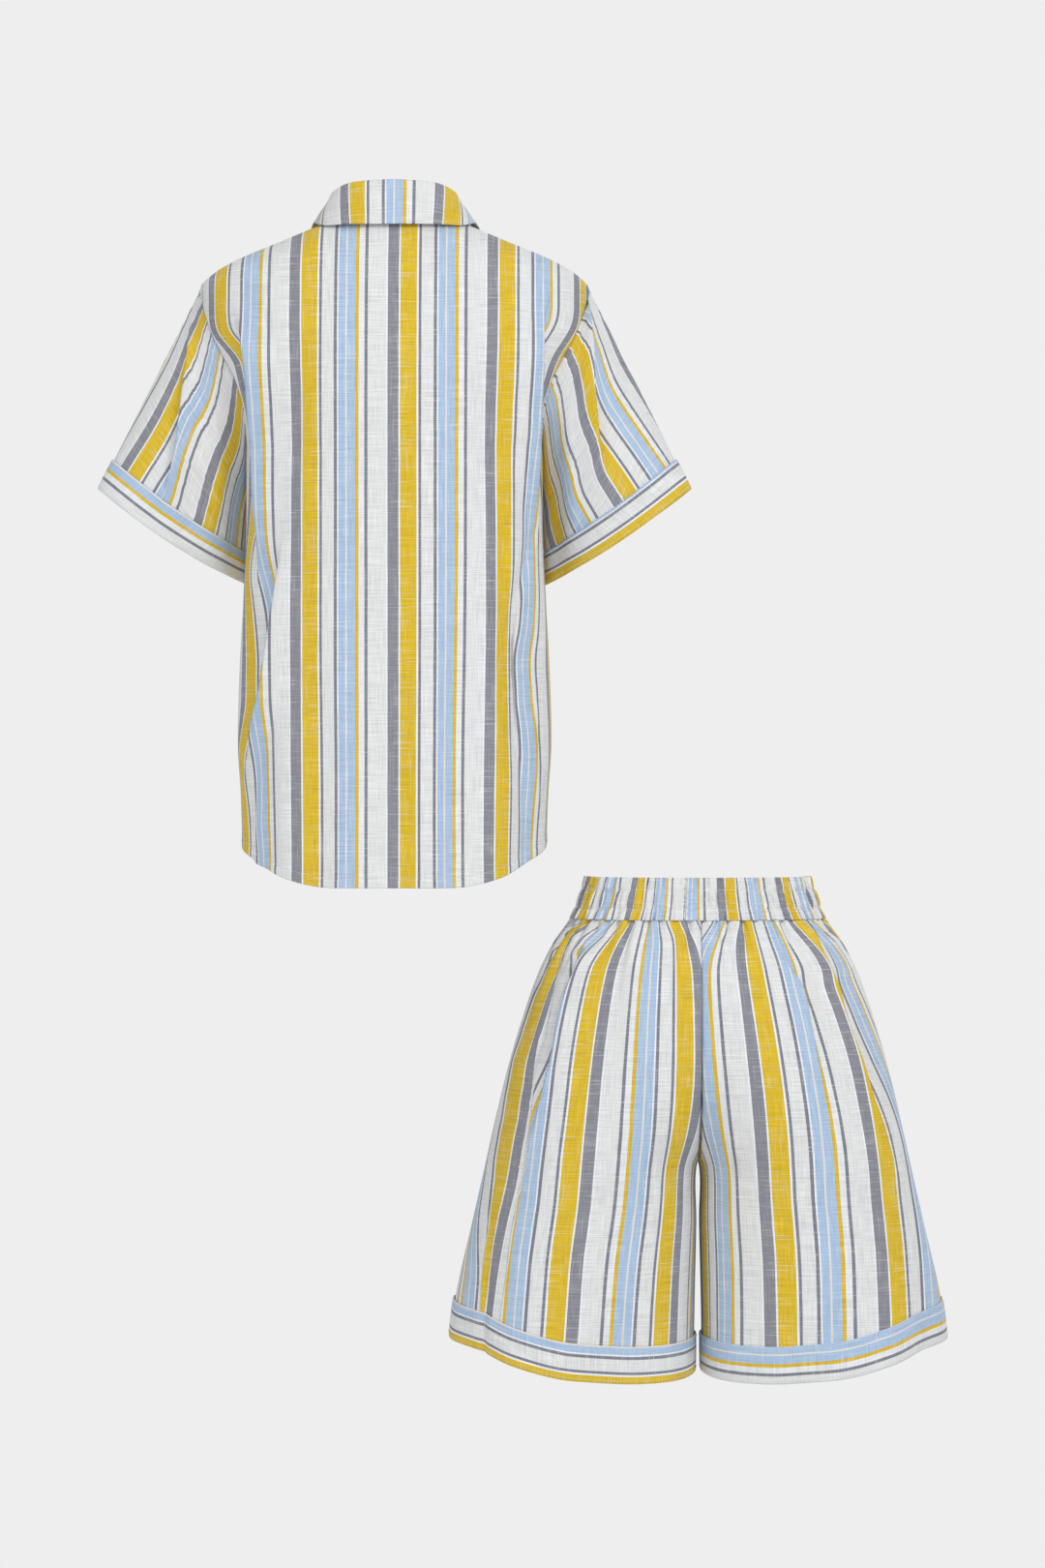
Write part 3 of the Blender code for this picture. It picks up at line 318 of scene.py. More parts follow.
# A stitch's rings: the place along it in its lengths, and the lift and size in thread radii
STITCH_RINGS = ((-0.5, -0.3, 0.15), (-0.22, 0.75, 1.0), (0.22, 0.75, 1.0), (0.5, -0.3, 0.15))
STITCH_SHARE = 0.74          # of the pitch that a stitch takes
# A button's four holes, their soft rim, and the thread through them
HOLE_OFF, HOLE_RADIUS, HOLE_RIM, BUTTON_THREAD = 0.00125, 0.00078, 0.00025, 0.00042

BAND_DIP, BAND_DIP_AT, BAND_DIP_WIDTH = 0.0003, 0.78, 0.10   # of the button band, along its two stitchings
CUFF_ROLL, LEG_BAND_ROLL = 0.0005, 0.0004                    # how far the bands bulge between their edges
LEG_AXIS = 0.09              # how far out each leg's upright middle line is
WAIST_SWAY, WAIST_SMOOTH = 0.0005, 13    # the sway of the waistband's stripes, and the points averaged for it
COLLAR_TOP_ROW, COLLAR_SOFT = 16, 0.10   # the row along the collar's roll, and how softly its stripes follow
# The stitching's rows, counted from the lower edge of a hem or the collar, and from the top edge of a band
HEM_STITCH_ROW, COLLAR_STITCH_ROW, CUFF_STITCH_ROWS, LEG_BAND_STITCH_ROWS = 8.5, 3.2, (1.2, 15.4), (1.2, 15.6)
HEM_APART, JOIN_STEP = 0.002, 0.002      # between the body's rows and the hem's, and where a band joins
CAMERA_X, CAMERA_Z = 0.132, -0.570

# How finely the pieces are drawn: their rows, and their points along each
BACK_GRID, FRONT_GRID, BAND_GRID = (158, 206), (126, 98), (170, 15)
SLEEVE_GRID, CUFF_GRID = (110, 165), (18, 181)
WAISTBAND_GRID, LEG_BAND_GRID, LEG_ROWS = (37, 501), (18, 241), (96, 62)
SHORTS_FRONT_COLUMNS, SHORTS_BACK_COLUMNS, COLLAR_COLUMNS, COLLAR_ROWS = 104, 128, 150, (10, 12, 34)

# Points along a row before they are spaced evenly
BACK_DENSE, FRONT_DENSE, BAND_DENSE, SLEEVE_DENSE = 1100, 640, 60, 901
LEG_DENSE, WAISTBAND_DENSE, LEG_BAND_DENSE = 900, 2401, 700

# Where the stripes begin: in metres on the shirt's body, and in repeats on the other pieces
BACK_STRIPES, FRONT_STRIPES, BAND_STRIPES = 0.0041, 0.031, 0.030
COLLAR_STRIPES, SLEEVE_STRIPES = 0.572, {"right": 0.93, "left": 0.79}
SHORTS_STRIPES = {
    ("back", "right"): 0.215, ("back", "left"): 0.775, ("front", "right"): 0.10, ("front", "left"): 0.60,
}
RIGHT_LEG_WIDER = 1.04       # than the left leg's stripes
# The same for the bands, with the way that the stripes follow each other from the top
CUFF_STRIPES = {"right": (0.528, -1), "left": (0.575, 1)}
LEG_BAND_STRIPES = {"right": (0.505, 1), "left": (0.592, -1)}

SIDES = ((1, "right"), (-1, "left"))


# Measures


def smooth_table(table, name, at):
    """A column of a table at the places `at`, by cubics between its rows whose slopes never overshoot them.

    The table's first row names its columns.
    """
    rows = np.array(table[1:], float)
    x, y = rows[:, 0], rows[:, table[0].index(name)]
    if x[0] > x[-1]:
        x, y = x[::-1], y[::-1]
    step = np.diff(y) / np.diff(x)
    both = step[:-1] * step[1:]
    total = np.where(both > 0, step[:-1] + step[1:], 1)
    slope = np.concatenate([step[:1], np.where(both > 0, 2 * both / total, 0), step[-1:]])
    at = np.clip(np.asarray(at, float), x[0], x[-1])
    i = np.clip(np.searchsorted(x, at) - 1, 0, len(x) - 2)
    width = x[i + 1] - x[i]
    t = (at - x[i]) / width
    return (y[i] * (1 + 2 * t) * (1 - t) ** 2 + y[i + 1] * t * t * (3 - 2 * t)
            + slope[i] * width * t * (1 - t) ** 2 - slope[i + 1] * width * t * t * (1 - t))


def smoothstep(t):
    """0 below 0, 1 above 1, and 3 t^2 - 2 t^3 between."""
    t = np.clip(t, 0, 1)
    return t * t * (3 - 2 * t)


def unit(vectors):
    """The same directions, each of length 1."""
    return vectors / (np.linalg.norm(vectors, axis=-1, keepdims=True) + 1e-12)


def run_along(points):
    """Distance along each row of points from its first point: the sum of the steps between them."""
    step = np.linalg.norm(np.diff(points, axis=-2), axis=-1)
    return np.concatenate([np.zeros_like(step[..., :1]), np.cumsum(step, axis=-1)], axis=-1)


def read_rows(at, known, values):
    """Each row's values or points read off at new places along it, straight between the known ones."""
    if values.ndim == 3:
        return np.stack([read_rows(at, known, values[..., k]) for k in range(values.shape[2])], axis=-1)
    return np.array([np.interp(a, k, v) for a, k, v in zip(at, known, values)])


def read_line(at, known, values):
    """The columns of one line of points read off at new places along it."""
    return np.stack([np.interp(at, known, column) for column in values.T], axis=-1)


def crossing(values, run):
    """The distance along each row at which its values, which only rise or only fall, pass through 0."""
    rising = values * np.sign(values[:, -1:] - values[:, :1])
    return np.array([np.interp(0, v, r) for v, r in zip(rising, run)])[:, None]


def even_columns(points, count, *others):
    """The points of each row moved to even distances along it, and the values that go with them."""
    run = run_along(points)
    at = np.linspace(0, 1, count) * run[:, -1:]
    return [read_rows(at, run, values) for values in (points, *others)]


def surface_normals(grid, closed=False):
    """Normals of a grid: the cross product of its steps down and its steps along."""
    along = np.roll(grid, -1, 1) - np.roll(grid, 1, 1) if closed else np.gradient(grid, axis=1)
    return unit(np.cross(np.gradient(grid, axis=0), along))


def outward_normals(grid, closed=False, axis=None):
    """The normals turned away on the whole from the upright line at `axis`, or from each row's middle."""
    normals = surface_normals(grid, closed)
    away = grid[..., :2] - (grid[..., :2].mean(axis=1, keepdims=True) if axis is None else np.array(axis))
    return normals if (normals[..., :2] * away).sum() > 0 else -normals


def fold_shift(folds, side, level, distance):
    """How far the folds on one side push the cloth out of its row, and along it.

    Each is a bell, exp(-(d / width)^2), times its strength at that level. d is the distance along the row
    from its foot, worked out from its seen edge and from how far it rolls over there.
    """
    out, along = np.zeros(level.shape), np.zeros(level.shape)
    for fold_side, width, depth, lean, path in folds:
        if fold_side == side:
            strength, edge = (smooth_table((PATH, *path), name, level) for name in ("strength", "x"))
            bell = np.exp(-(distance(edge, lean * strength) / width) ** 2) * strength
            out += depth * bell
            along += lean * bell
    return out, along


def body_folds(folds, side, run, x, z):
    """The folds of a row whose seen edges are given by x, to the right or the left of its centre."""
    out, along = fold_shift(folds, side, z, lambda edge, roll: run - crossing(x - (edge - roll) * side, run))
    return out, along * np.sign(x[:, -1:] - x[:, :1]) * side


def drift(values, seed, waves):
    """A soft uneven wave: the sum of five sines of unlike lengths and phases, about 1 high."""
    random = np.random.default_rng(seed)
    total = np.zeros_like(values)
    for _ in range(5):
        wave = np.sin(values * waves * random.uniform(0.5, 1.6) + random.uniform(0, 6.3))
        total += wave * random.uniform(0.2, 0.6)
    return total


# Shirt


def shirt_level(name, z):
    """A measure of the shirt's section at the levels z, one for each row."""
    return smooth_table(SHIRT_LEVELS, name, z)[:, None]


def shirt_section(is_front, z, steps=260):
    """Half of each level section: x = half_width sin(t)^(2/p), depth = edge + (centre - edge) cos(t)^(2/p).

    Both are scaled to end at the seam, where t has gone through the level's turn.
    """
    turn = np.radians(shirt_level("turn", z))
    where = "front" if is_front else "back"
    centre, edge = shirt_level(where, z), shirt_level(f"{where}_edge", z)
    angle = np.linspace(0, 1, steps)[None] * turn
    sine = np.sin(angle) ** (2 / SHIRT_POWER)
    cosine = np.clip(np.cos(angle), 0, 1) ** (2 / SHIRT_POWER)
    x = shirt_level("half_width", z) * sine / sine[:, -1:]
    depth = edge + (centre - edge) * (cosine - cosine[:, -1:]) / (1 - cosine[:, -1:])
    return np.stack([x, depth * (1 if is_front else -1)], axis=-1)


def shirt_rows(is_front, z, first, last, folds, count):
    """Rows of the shirt between two places, -1 to 1 from seam to seam, with their folds, flutes and hem."""
    section = shirt_section(is_front, z)
    share = run_along(section)
    length = share[:, -1:]
    share = share / length
    across = np.linspace(0, 1, count)[None] * (last - first) + first
    place, side = np.abs(across), np.where(across < 0, -1, 1)
    along_section = unit(np.gradient(section, axis=1))
    flat, tangent = (read_rows(place, share, known) for known in (section, along_section))
    flat[..., 0] *= side
    tangent[..., 1] *= side
    normal = np.stack([tangent[..., 1], -tangent[..., 0]], axis=-1) * (-1 if is_front else 1)
    down = np.broadcast_to(z[:, None], place.shape)
    shifts = [body_folds(folds, way, across * length, flat[..., 0], down) for way in (-1, 1)]
    out, along = (sum(both) for both in zip(*shifts))
    opening = smoothstep((FLUTE_TOP - down) / FLUTE_REACH)
    if is_front:
        opening, out, along = (value * smoothstep(place / FLAT_BY_BAND) for value in (opening, out, along))
    out -= FLUTE_DEPTH * opening * np.cos(2 * math.pi * FLUTES * across) * (1 - place ** 4)
    taper = smoothstep((1 - place) * length / SEAM_TAPER)
    moved = flat + (normal * out[..., None] + tangent * along[..., None]) * taper[..., None]
    rise = HEM_RISE * smoothstep((place - HEM_RISE_START) / (HEM_RISE_END - HEM_RISE_START))
    rise = rise * smoothstep((HEM_Z + HEM_BLEND - down) / HEM_BLEND)
    return np.concatenate([moved, (down + rise)[..., None]], axis=-1), across


def stripe_run(points, across):
    """Distance along the cloth from each row's centre. Above the shoulder blades it follows x instead."""
    run = run_along(points)
    run = run - crossing(across, run)
    z, x = points[:, 0, 2], points[..., 0]
    level = int(np.argmin(np.abs(z - STRAIGHT_ABOVE)))
    order = np.argsort(x[level])
    straight = np.interp(x, x[level][order], run[level][order])
    share = smoothstep((points[..., 2] - STRAIGHT_ABOVE + STRAIGHT_BLEND) / STRAIGHT_BLEND)
    return run + (straight - run) * share


def shirt_levels(count, turn_up, fine=8):
    """Levels down a panel, close together over the turned-up hem."""
    body = np.linspace(NECK_Z, HEM_Z + turn_up + HEM_APART, count)
    return np.concatenate([body, np.linspace(HEM_Z + turn_up, HEM_Z, fine)])


def stitched_hem(grid, normals, turn_up):
    """The grid with its hem's turn-up: a shallow step out below the stitching, and a dip along it."""
    above = np.abs(grid[-1:, :, 2] - grid[..., 2]) - turn_up
    out = HEM_STEP * smoothstep(1 - above / HEM_STEP_WIDTH) - HEM_DIP * np.exp(-(above / HEM_DIP_WIDTH) ** 2)
    return grid + normals * out[..., None]


def front_start(side, z):
    """Where a front begins on each row: at its neckline, and below it at its edge by the centre."""
    section = shirt_section(True, z)
    run = run_along(section)
    x = np.where(z > NECKLINE[-1][0], smooth_table(NECKLINE, "half_width", z), -1.0)
    x = np.maximum(x, UNDERLAP + SEAM) if side > 0 else np.where(x < 0, -UNDERLAP, x)
    share = read_rows(np.abs(x)[:, None], section[..., 0], run / run[:, -1:])
    return share * np.sign(x)[:, None]


def shirt_surface(is_front, x, z):
    """How far the shirt lies in front of or behind the neck at each point, and its half width there."""
    where = "front" if is_front else "back"
    names = (where, f"{where}_edge", "half_width", "turn")
    centre, edge, half, turn = (shirt_level(name, z.ravel()).reshape(x.shape) for name in names)
    turn = np.radians(turn)
    sine = np.clip((np.abs(x) / half) ** (SHIRT_POWER / 2) * np.sin(turn), 0, 1)
    cosine = np.sqrt(1 - sine ** 2) ** (2 / SHIRT_POWER)
    last = np.clip(np.cos(turn), 0, 1) ** (2 / SHIRT_POWER)
    return edge + (centre - edge) * (cosine - last) / (1 - last), half


def neck_seam(back_points=70, front_points=90):
    """Points from the centre back to the centre front along the wearer's right of the neck."""
    back = shirt_section(False, np.array([NECK_Z]))[0]
    run = run_along(back)
    at = np.linspace(0, run[-1], back_points)
    line = np.column_stack([read_line(at, run, back), np.full(back_points, NECK_Z)])
    z = np.linspace(NECK_Z, NECKLINE[-1][0], front_points)[1:]
    x = smooth_table(NECKLINE, "half_width", z)
    return np.concatenate([line, np.column_stack([x, shirt_surface(True, x, z)[0], z])])


def collar_grid():
    """Strips up the stand, over the roll and down the leaf, one for each place along the neck seam.

    The stand is straight, the roll is half a circle, and the leaf is a parabola that is kept off the shirt.
    """
    stand, roll, leaf = COLLAR_ROWS
    seam = neck_seam()
    run = run_along(seam)
    at = np.linspace(0, run[-1], COLLAR_COLUMNS)
    seam = read_line(at, run, seam)
    along = at / at[-1]
    direction = np.gradient(seam[:, :2], axis=0)
    direction[0] = (1, 0)
    outward = np.column_stack([direction[:, 1], -direction[:, 0], np.zeros(COLLAR_COLUMNS)])
    for _ in range(30):
        outward[1:-1] = (unit(outward[:-2]) + 2 * unit(outward[1:-1]) + unit(outward[2:])) / 4
    outward = unit(outward)
    value = {name: smooth_table(COLLAR, name, along)[:, None] for name in COLLAR[0][1:]}
    up = np.array([[0, 0, 1.0]])
    foot = seam - outward * WALL + up * SEAM
    top = foot - outward * value["roll_in"] + up * value["roll_up"]
    edge = np.concatenate([value[f"edge_{axis}"] for axis in "xyz"], axis=1)
    rows = [foot + (top - foot) * t for t in np.linspace(0, 1, stand, endpoint=False)]
    for turn in np.linspace(math.pi, 0, roll):
        rows.append(top + (outward * (1 + math.cos(turn)) + up * math.sin(turn)) * ROLL_RADIUS)
    start = rows[-1]
    reach = np.linalg.norm((edge - start)[:, :2], axis=1, keepdims=True)
    bend = start + (edge - start) * 0.5 + (outward * 0.1 + up * 0.2) * reach
    for t in np.linspace(0, 1, leaf + 1)[1:]:
        rows.append((1 - t) ** 2 * start + 2 * t * (1 - t) * bend + t * t * edge)
    grid = np.array(rows)
    for is_front in (False, True):
        ahead = 1 if is_front else -1
        surface, half = shirt_surface(is_front, grid[..., 0], np.minimum(grid[..., 2], NECK_Z))
        near = (grid[..., 1] * ahead > 0) & (grid[..., 2] <= NECK_Z) & (np.abs(grid[..., 0]) < half)
        near[:stand + roll] = False
        off = np.maximum(grid[..., 1] * ahead, surface + LEAF_CLEAR) * ahead
        grid[..., 1] = np.where(near, off, grid[..., 1])
    left = grid[:, :0:-1] * np.array([-1, 1, 1])
    return np.concatenate([left, grid], axis=1)


# Sleeves


def armhole_points(around):
    """Points round the wearer's right armhole: 0 is at the shoulder, 0.25 behind and 0.5 underneath."""
    last = len(ARMHOLE) - 1
    places = (around % 1) * 2 * last
    back = places <= last
    level = np.interp(np.where(back, places, 2 * last - places), np.arange(last + 1), ARMHOLE)
    depth = np.where(back, -shirt_level("back_edge", level)[:, 0], shirt_level("front_edge", level)[:, 0])
    return np.column_stack([shirt_level("half_width", level)[:, 0], depth, level])


def opening_points(around):
    """The sleeve's opening: a slanting ellipse between two corners, sagging by the square of its sine."""
    outer, inner = np.array(OPENING_OUTER), np.array(OPENING_INNER)
    turn = 2 * math.pi * around[:, None]
    sag = np.where(np.sin(turn) > 0, OPENING_SAG_BACK, OPENING_SAG_FRONT) * np.sin(turn) ** 2
    return ((outer + inner) / 2 + (outer - inner) / 2 * np.cos(turn)
            - np.array([0, OPENING_HALF_DEPTH, 0]) * np.sin(turn) - np.array([0, 0, 1]) * sag)


def sleeve_rows(side, shares, around):
    """Rows of a sleeve: straight lines from its armhole to its opening, bowed under the arm and folded."""
    armhole, opening = armhole_points(around), opening_points(around)
    grid = armhole + (opening - armhole) * shares[..., None]
    grid[..., 0] += SEAM
    under = smoothstep(1 - np.abs(around % 1 - 0.5) / UNDERARM_REACH)
    bow = under * np.sin(math.pi * shares ** 0.6)
    grid[..., 0] += UNDERARM_OUT * bow
    grid[..., 1] += UNDERARM_AHEAD * bow
    normals = outward_normals(grid)
    tangent = unit(np.gradient(grid, axis=1))
    length = run_along(grid)[:, -1:]
    out, along = fold_shift(SLEEVE_FOLDS, side, shares, lambda edge, roll: (
        (around - edge - roll / length + 0.5) % 1 - 0.5) * length)
    out -= SEAM_DIP * np.exp(-(shares * SLEEVE_LENGTH / ARMHOLE_DIP_WIDTH) ** 2)
    return grid + normals * out[..., None] - tangent * along[..., None]


# Shorts


def shorts_level(name, z):
    """A measure of the shorts' section at each level."""
    return smooth_table(SHORTS_LEVELS, name, z)


def round_power(value):
    """The value's magnitude to the power 2/p, with its sign."""
    return np.sign(value) * np.abs(value) ** (2 / SHORTS_POWER)


def leg_length(angle):
    """Distance from the crotch's level down to the hem, at each angle round a leg."""
    return CROTCH - smooth_table(HEM_AROUND, "z", np.degrees(angle))


def last_angle(z):
    """The angle, from the side seam, at which the wearer's right half of a section meets the centre."""
    centre = shorts_level("leg_centre", z)
    half = shorts_level("outer", z) - centre
    reach = (centre - SEAM / 2) / half
    bend = np.arcsin(np.minimum(np.abs(reach), 1) ** (SHORTS_POWER / 2))
    return math.pi / 2 + np.copysign(bend, reach)


def shorts_rows(is_front, side, angle, z, leg_share, gathers=True):
    """Rows of half the shorts: x = leg_centre + half cos(t)^(2/p), y = depth sin(t)^(2/p), then the folds.

    The angles run from the centre or inner seam to the side seam at 0.
    """
    centre = shorts_level("leg_centre", z)
    half = shorts_level("outer", z) - centre
    depth = shorts_level("front" if is_front else "back", z)
    x = centre + half * round_power(np.cos(angle))
    y = depth * round_power(np.sin(angle))
    plan = np.stack([x, y], axis=-1)
    run = run_along(plan)
    normal = unit(np.stack([depth * np.cos(angle), half * np.sin(angle)], axis=-1))
    out, along = body_folds(SHORTS_FRONT_FOLDS if is_front else SHORTS_BACK_FOLDS, side, run, x * side, z)
    degrees = np.degrees(angle)
    flute = smoothstep((180 - degrees) / LEG_FLUTE_ENDS[1]) * smoothstep(degrees / LEG_FLUTE_ENDS[0])
    out += LEG_FLUTE_DEPTH * leg_share * flute * np.cos(2 * math.pi * LEG_FLUTES * degrees / 180)
    to_side = (run[:, -1:] - run) / SEAM_TAPER
    calm = smoothstep(to_side) * smoothstep(run / SEAM_TAPER)
    out, along = out * calm, along * calm
    if gathers:
        out += panel_gathers(run / run[:, -1:], z, 20 + 2 * is_front + (side > 0))
        out -= SEAM_DIP * sum(np.exp(-(far / SEAM_DIP_WIDTH) ** 2) for far in (run, run[:, -1:] - run))
    x = x + normal[..., 0] * out + normal[..., 1] * along
    y = y + normal[..., 1] * out - normal[..., 0] * along
    drop = 0
    if is_front:
        drop = FRONT_DROP * smoothstep(degrees / 90) * smoothstep(1 + (z + WAISTBAND) / FRONT_DROP_REACH)
    y = np.maximum(y, SEAM / 2) * (1 if is_front else -1)
    return np.stack([np.maximum(x, SEAM / 2) * side, y, z - drop], axis=-1) + np.array(WAIST_AT)


def panel_gathers(share, z, seed):
    """Puckers under the waistband: a bell across the row for each gather, fading over its own length."""
    random = np.random.default_rng(seed)
    out = np.zeros_like(share)
    drop = -WAISTBAND - z
    for number in range(GATHERS_IN_PANEL):
        middle = (number + 0.5 + random.uniform(-0.2, 0.2)) / GATHERS_IN_PANEL
        sizes = (GATHER_LEAN, GATHER_REACH, GATHER_DEPTH, GATHER_WIDTH)
        lean, reach, depth, width = (random.uniform(low, high) for low, high in sizes)
        width = width / GATHERS_IN_PANEL
        apart = share - middle - lean * drop
        fade = np.exp(-(np.clip(drop, 0, 1) / reach) ** 1.5)
        out += depth * np.exp(-(apart / (width * (1 + drop * 6))) ** 2) * fade
        beside = width * random.choice((-1.7, 1.7))
        out -= depth * 0.9 * np.exp(-((apart - beside) / (width * (0.26 + drop * 4))) ** 2) * fade ** 2
    return out - GATHER_SINK * np.exp(-(np.clip(drop, 0, 1) / GATHER_SINK_REACH) ** 2)


def leg_rows(is_front, side, count):
    """A leg panel's rows from the waist seam to just inside its band's lower edge."""
    hips = np.linspace(-WAISTBAND - SEAM, CROTCH, LEG_ROWS[0])[:, None]
    spread = np.linspace(1, 0, count)[None]
    angle = spread * last_angle(hips)
    upper = shorts_rows(is_front, side, angle, np.broadcast_to(hips, angle.shape), 0.0)
    angle = np.broadcast_to(spread * math.pi, (LEG_ROWS[1], count))
    shares = np.linspace(0, 1, LEG_ROWS[1])[:, None] * (1 - TUCK / leg_length(angle))
    lower = shorts_rows(is_front, side, angle, CROTCH - leg_length(angle) * shares, shares)
    return np.concatenate([upper, lower[1:]])


def shorts_stripes(points, is_front, side):
    """Stripe distance along each row: the cloth's run from the grain line, times its fullness there.

    Beside the side seam the row's depth counts for less, and a tuck adds what it hides.
    """
    name = "right" if side > 0 else "left"
    z = points[..., 2] - WAIST_AT[2]
    run = run_along(points)
    x = (points[..., 0] - WAIST_AT[0]) * side
    level = z.mean(axis=1)
    grain, flat = (smooth_table(table, name, level)[:, None] for table in (GRAIN, FLAT))
    first = int(run.shape[1] * GRAIN_SEARCH)
    out = np.maximum.accumulate(x, 1) - grain
    start = crossing(out[:, first:], run[:, first:])
    flat = flat * smoothstep((FLAT_REACH - run[:, -1:] + run) / FLAT_SOFT)
    steps = np.hypot(np.diff(points[..., 0], axis=1), np.diff(points[..., 1], axis=1) * (1 - flat[:, 1:]))
    eased = np.concatenate([np.zeros_like(run[:, :1]), np.cumsum(steps, axis=1)], axis=1)
    full = smooth_table(FULLNESS, "cloth", level)[:, None]
    hidden = 0
    for tuck_side, amount, path in SHORTS_TUCKS if not is_front else ():
        if tuck_side == side:
            edge, strength = (smooth_table((PATH, *path), name, level)[:, None] for name in ("x", "strength"))
            hidden = hidden + amount * strength * smoothstep((x - edge) / TUCK_EDGE + 0.5)
    return (eased - read_rows(start, run, eased)) * full + hidden


def waistband_rows(z, angle):
    """The waistband: one oval at each level, puckered between its stitching, with a soft roll at its top."""
    outer, back, front = (shorts_level(name, z) for name in ("outer", "back", "front"))
    depth = np.where(np.sin(angle) > 0, back, front)
    x, y = outer * round_power(np.cos(angle)), -depth * round_power(np.sin(angle))
    normal = unit(np.stack([depth * np.cos(angle), -outer * np.sin(angle)], axis=-1))
    run = run_along(np.stack([x, y], axis=-1))
    share = run / run[:, -1:]
    pitch = 4 * GATHERS_IN_PANEL * 2 * math.pi
    edges = (0.0, *(-row for row in WAISTBAND_STITCHES), -WAISTBAND)
    out = np.zeros_like(share)
    for top, foot, (seed, start, waves) in zip(edges, edges[1:], WAISTBAND_ZONES):
        inside = np.clip((z - top) / (foot - top), 0, 1)
        swell = np.sin(math.pi * (start + waves * inside)) ** 0.7 * ((z <= top) & (z >= foot))
        wander = drift(share * 2 * math.pi, seed, 9) * 1.3
        pleat = 2 * np.abs(np.cos(share * pitch * 0.62 + wander)) ** 0.6 - 1
        fine = 2 * np.abs(np.cos(share * pitch * 1.13 + wander * 2.1)) ** 0.7 - 1
        out += swell * (PLEAT * pleat + FINE_PLEAT * fine - PLEAT_SINK)
    sewn = sum(np.exp(-((z + row) / STITCH_DIP_WIDTH) ** 2) for row in WAISTBAND_STITCHES)
    out += RIPPLE * np.cos(share * pitch) - STITCH_DIP * sewn - PLEAT_SINK
    x, y = x + normal[..., 0] * out, y + normal[..., 1] * out
    drop = FRONT_DROP * smoothstep(-np.sin(angle))
    return np.stack([x, y, z - drop], axis=-1) + np.array(WAIST_AT)


def band_rows(side, rows, count):
    """A leg's hem band: the leg's own rows over the band's height, moved out by one layer."""
    half = np.linspace(math.pi, 0, count)[None]
    up = np.linspace(1, 0, rows)[:, None]
    parts = []
    for is_front in (False, True):
        angle = np.broadcast_to(half, (rows, count))
        length = leg_length(angle)
        shares = 1 - LEG_BAND * up / length
        points = shorts_rows(is_front, side, angle, CROTCH - length * shares, shares, gathers=False)
        parts.append(points if not is_front else points[:, -2:0:-1])
    grid = np.concatenate(parts, axis=1)
    roll = LEG_BAND_ROLL * np.sin(math.pi * up) ** 0.5
    return grid + outward_normals(grid, True) * (CUFF_LIFT + roll)[..., None]


# Meshes


def mesh_from_grid(name, grid, uv, closed, axis):
    """A mesh of quads over a grid of points, facing away from `axis`, with the cloth's own coordinates.

    uv holds one more column than a closed grid, so that the cloth doesn't run backwards where it joins.
    """
    rows, columns = grid.shape[:2]
    reach = columns if closed else columns - 1
    r, c = np.meshgrid(np.arange(rows - 1), np.arange(reach), indexing="ij")
    following = (c + 1) % columns
    corners = ((r, c, c), (r + 1, c, c), (r + 1, following, c + 1), (r, following, c + 1))
    faces = np.stack([row * columns + column for row, column, _ in corners], axis=-1).reshape(-1, 4)
    marks = np.stack([uv[row, column] for row, _, column in corners], axis=2).reshape(-1, 4, 2)
    points = grid.reshape(-1, 3)
    first, second, third = (points[faces[:, k]] for k in range(3))
    flat = np.cross(second - first, third - first)
    if (flat[:, :2] * (first[:, :2] - np.array(axis))).sum() < 0:
        faces, marks = faces[:, ::-1], marks[:, ::-1]
    return mesh_from_faces(name, points, faces, marks)


def tube_faces(rings, count):
    """Quads between the rings of a tube, each of `count` points."""
    r, c = np.meshgrid(np.arange(rings - 1), np.arange(count), indexing="ij")
    following = (c + 1) % count
    corners = ((r, c), (r + 1, c), (r + 1, following), (r, following))
    return np.stack([row * count + column for row, column in corners], axis=-1).reshape(-1, 4)


def mesh_from_faces(name, points, faces, marks=None):
    """A smooth mesh object from arrays of points and of faces with equal numbers of corners."""
    mesh = bpy.data.meshes.new(name)
    mesh.vertices.add(len(points))
    mesh.vertices.foreach_set("co", np.ascontiguousarray(points, dtype=np.float32).ravel())
    mesh.loops.add(faces.size)
    mesh.loops.foreach_set("vertex_index", np.ascontiguousarray(faces, dtype=np.int32).ravel())
    mesh.polygons.add(len(faces))
    mesh.polygons.foreach_set("loop_start", np.arange(0, faces.size, faces.shape[1], dtype=np.int32))
    if marks is not None:
        layer = mesh.uv_layers.new(name="cloth")
        layer.data.foreach_set("uv", np.ascontiguousarray(marks, dtype=np.float32).ravel())
    mesh.update(calc_edges=True)
    mesh.validate()
    mesh.shade_smooth()
    obj = bpy.data.objects.new(name, mesh)
    bpy.context.scene.collection.objects.link(obj)
    return obj


def dress(obj, looks):
    """Gives an object its looks, and says that it rides on the one body."""
    obj.data.materials.append(bpy.data.materials[looks])
    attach(obj, "root")


def cloth_piece(name, grid, uv, settings, node, closed=False, axis=(0, 0)):
    """A piece of cloth in place of its node: the grid is its outer face, and its wall goes inwards."""
    obj = mesh_from_grid(name, grid, uv, closed, axis)
    wall = obj.modifiers.new("wall", "SOLIDIFY")
    wall.thickness = settings.cloth_thickness
    wall.offset = -1.0
    wall.use_rim = True
    dress(obj, "striped_cotton_looks")
    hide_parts(node)


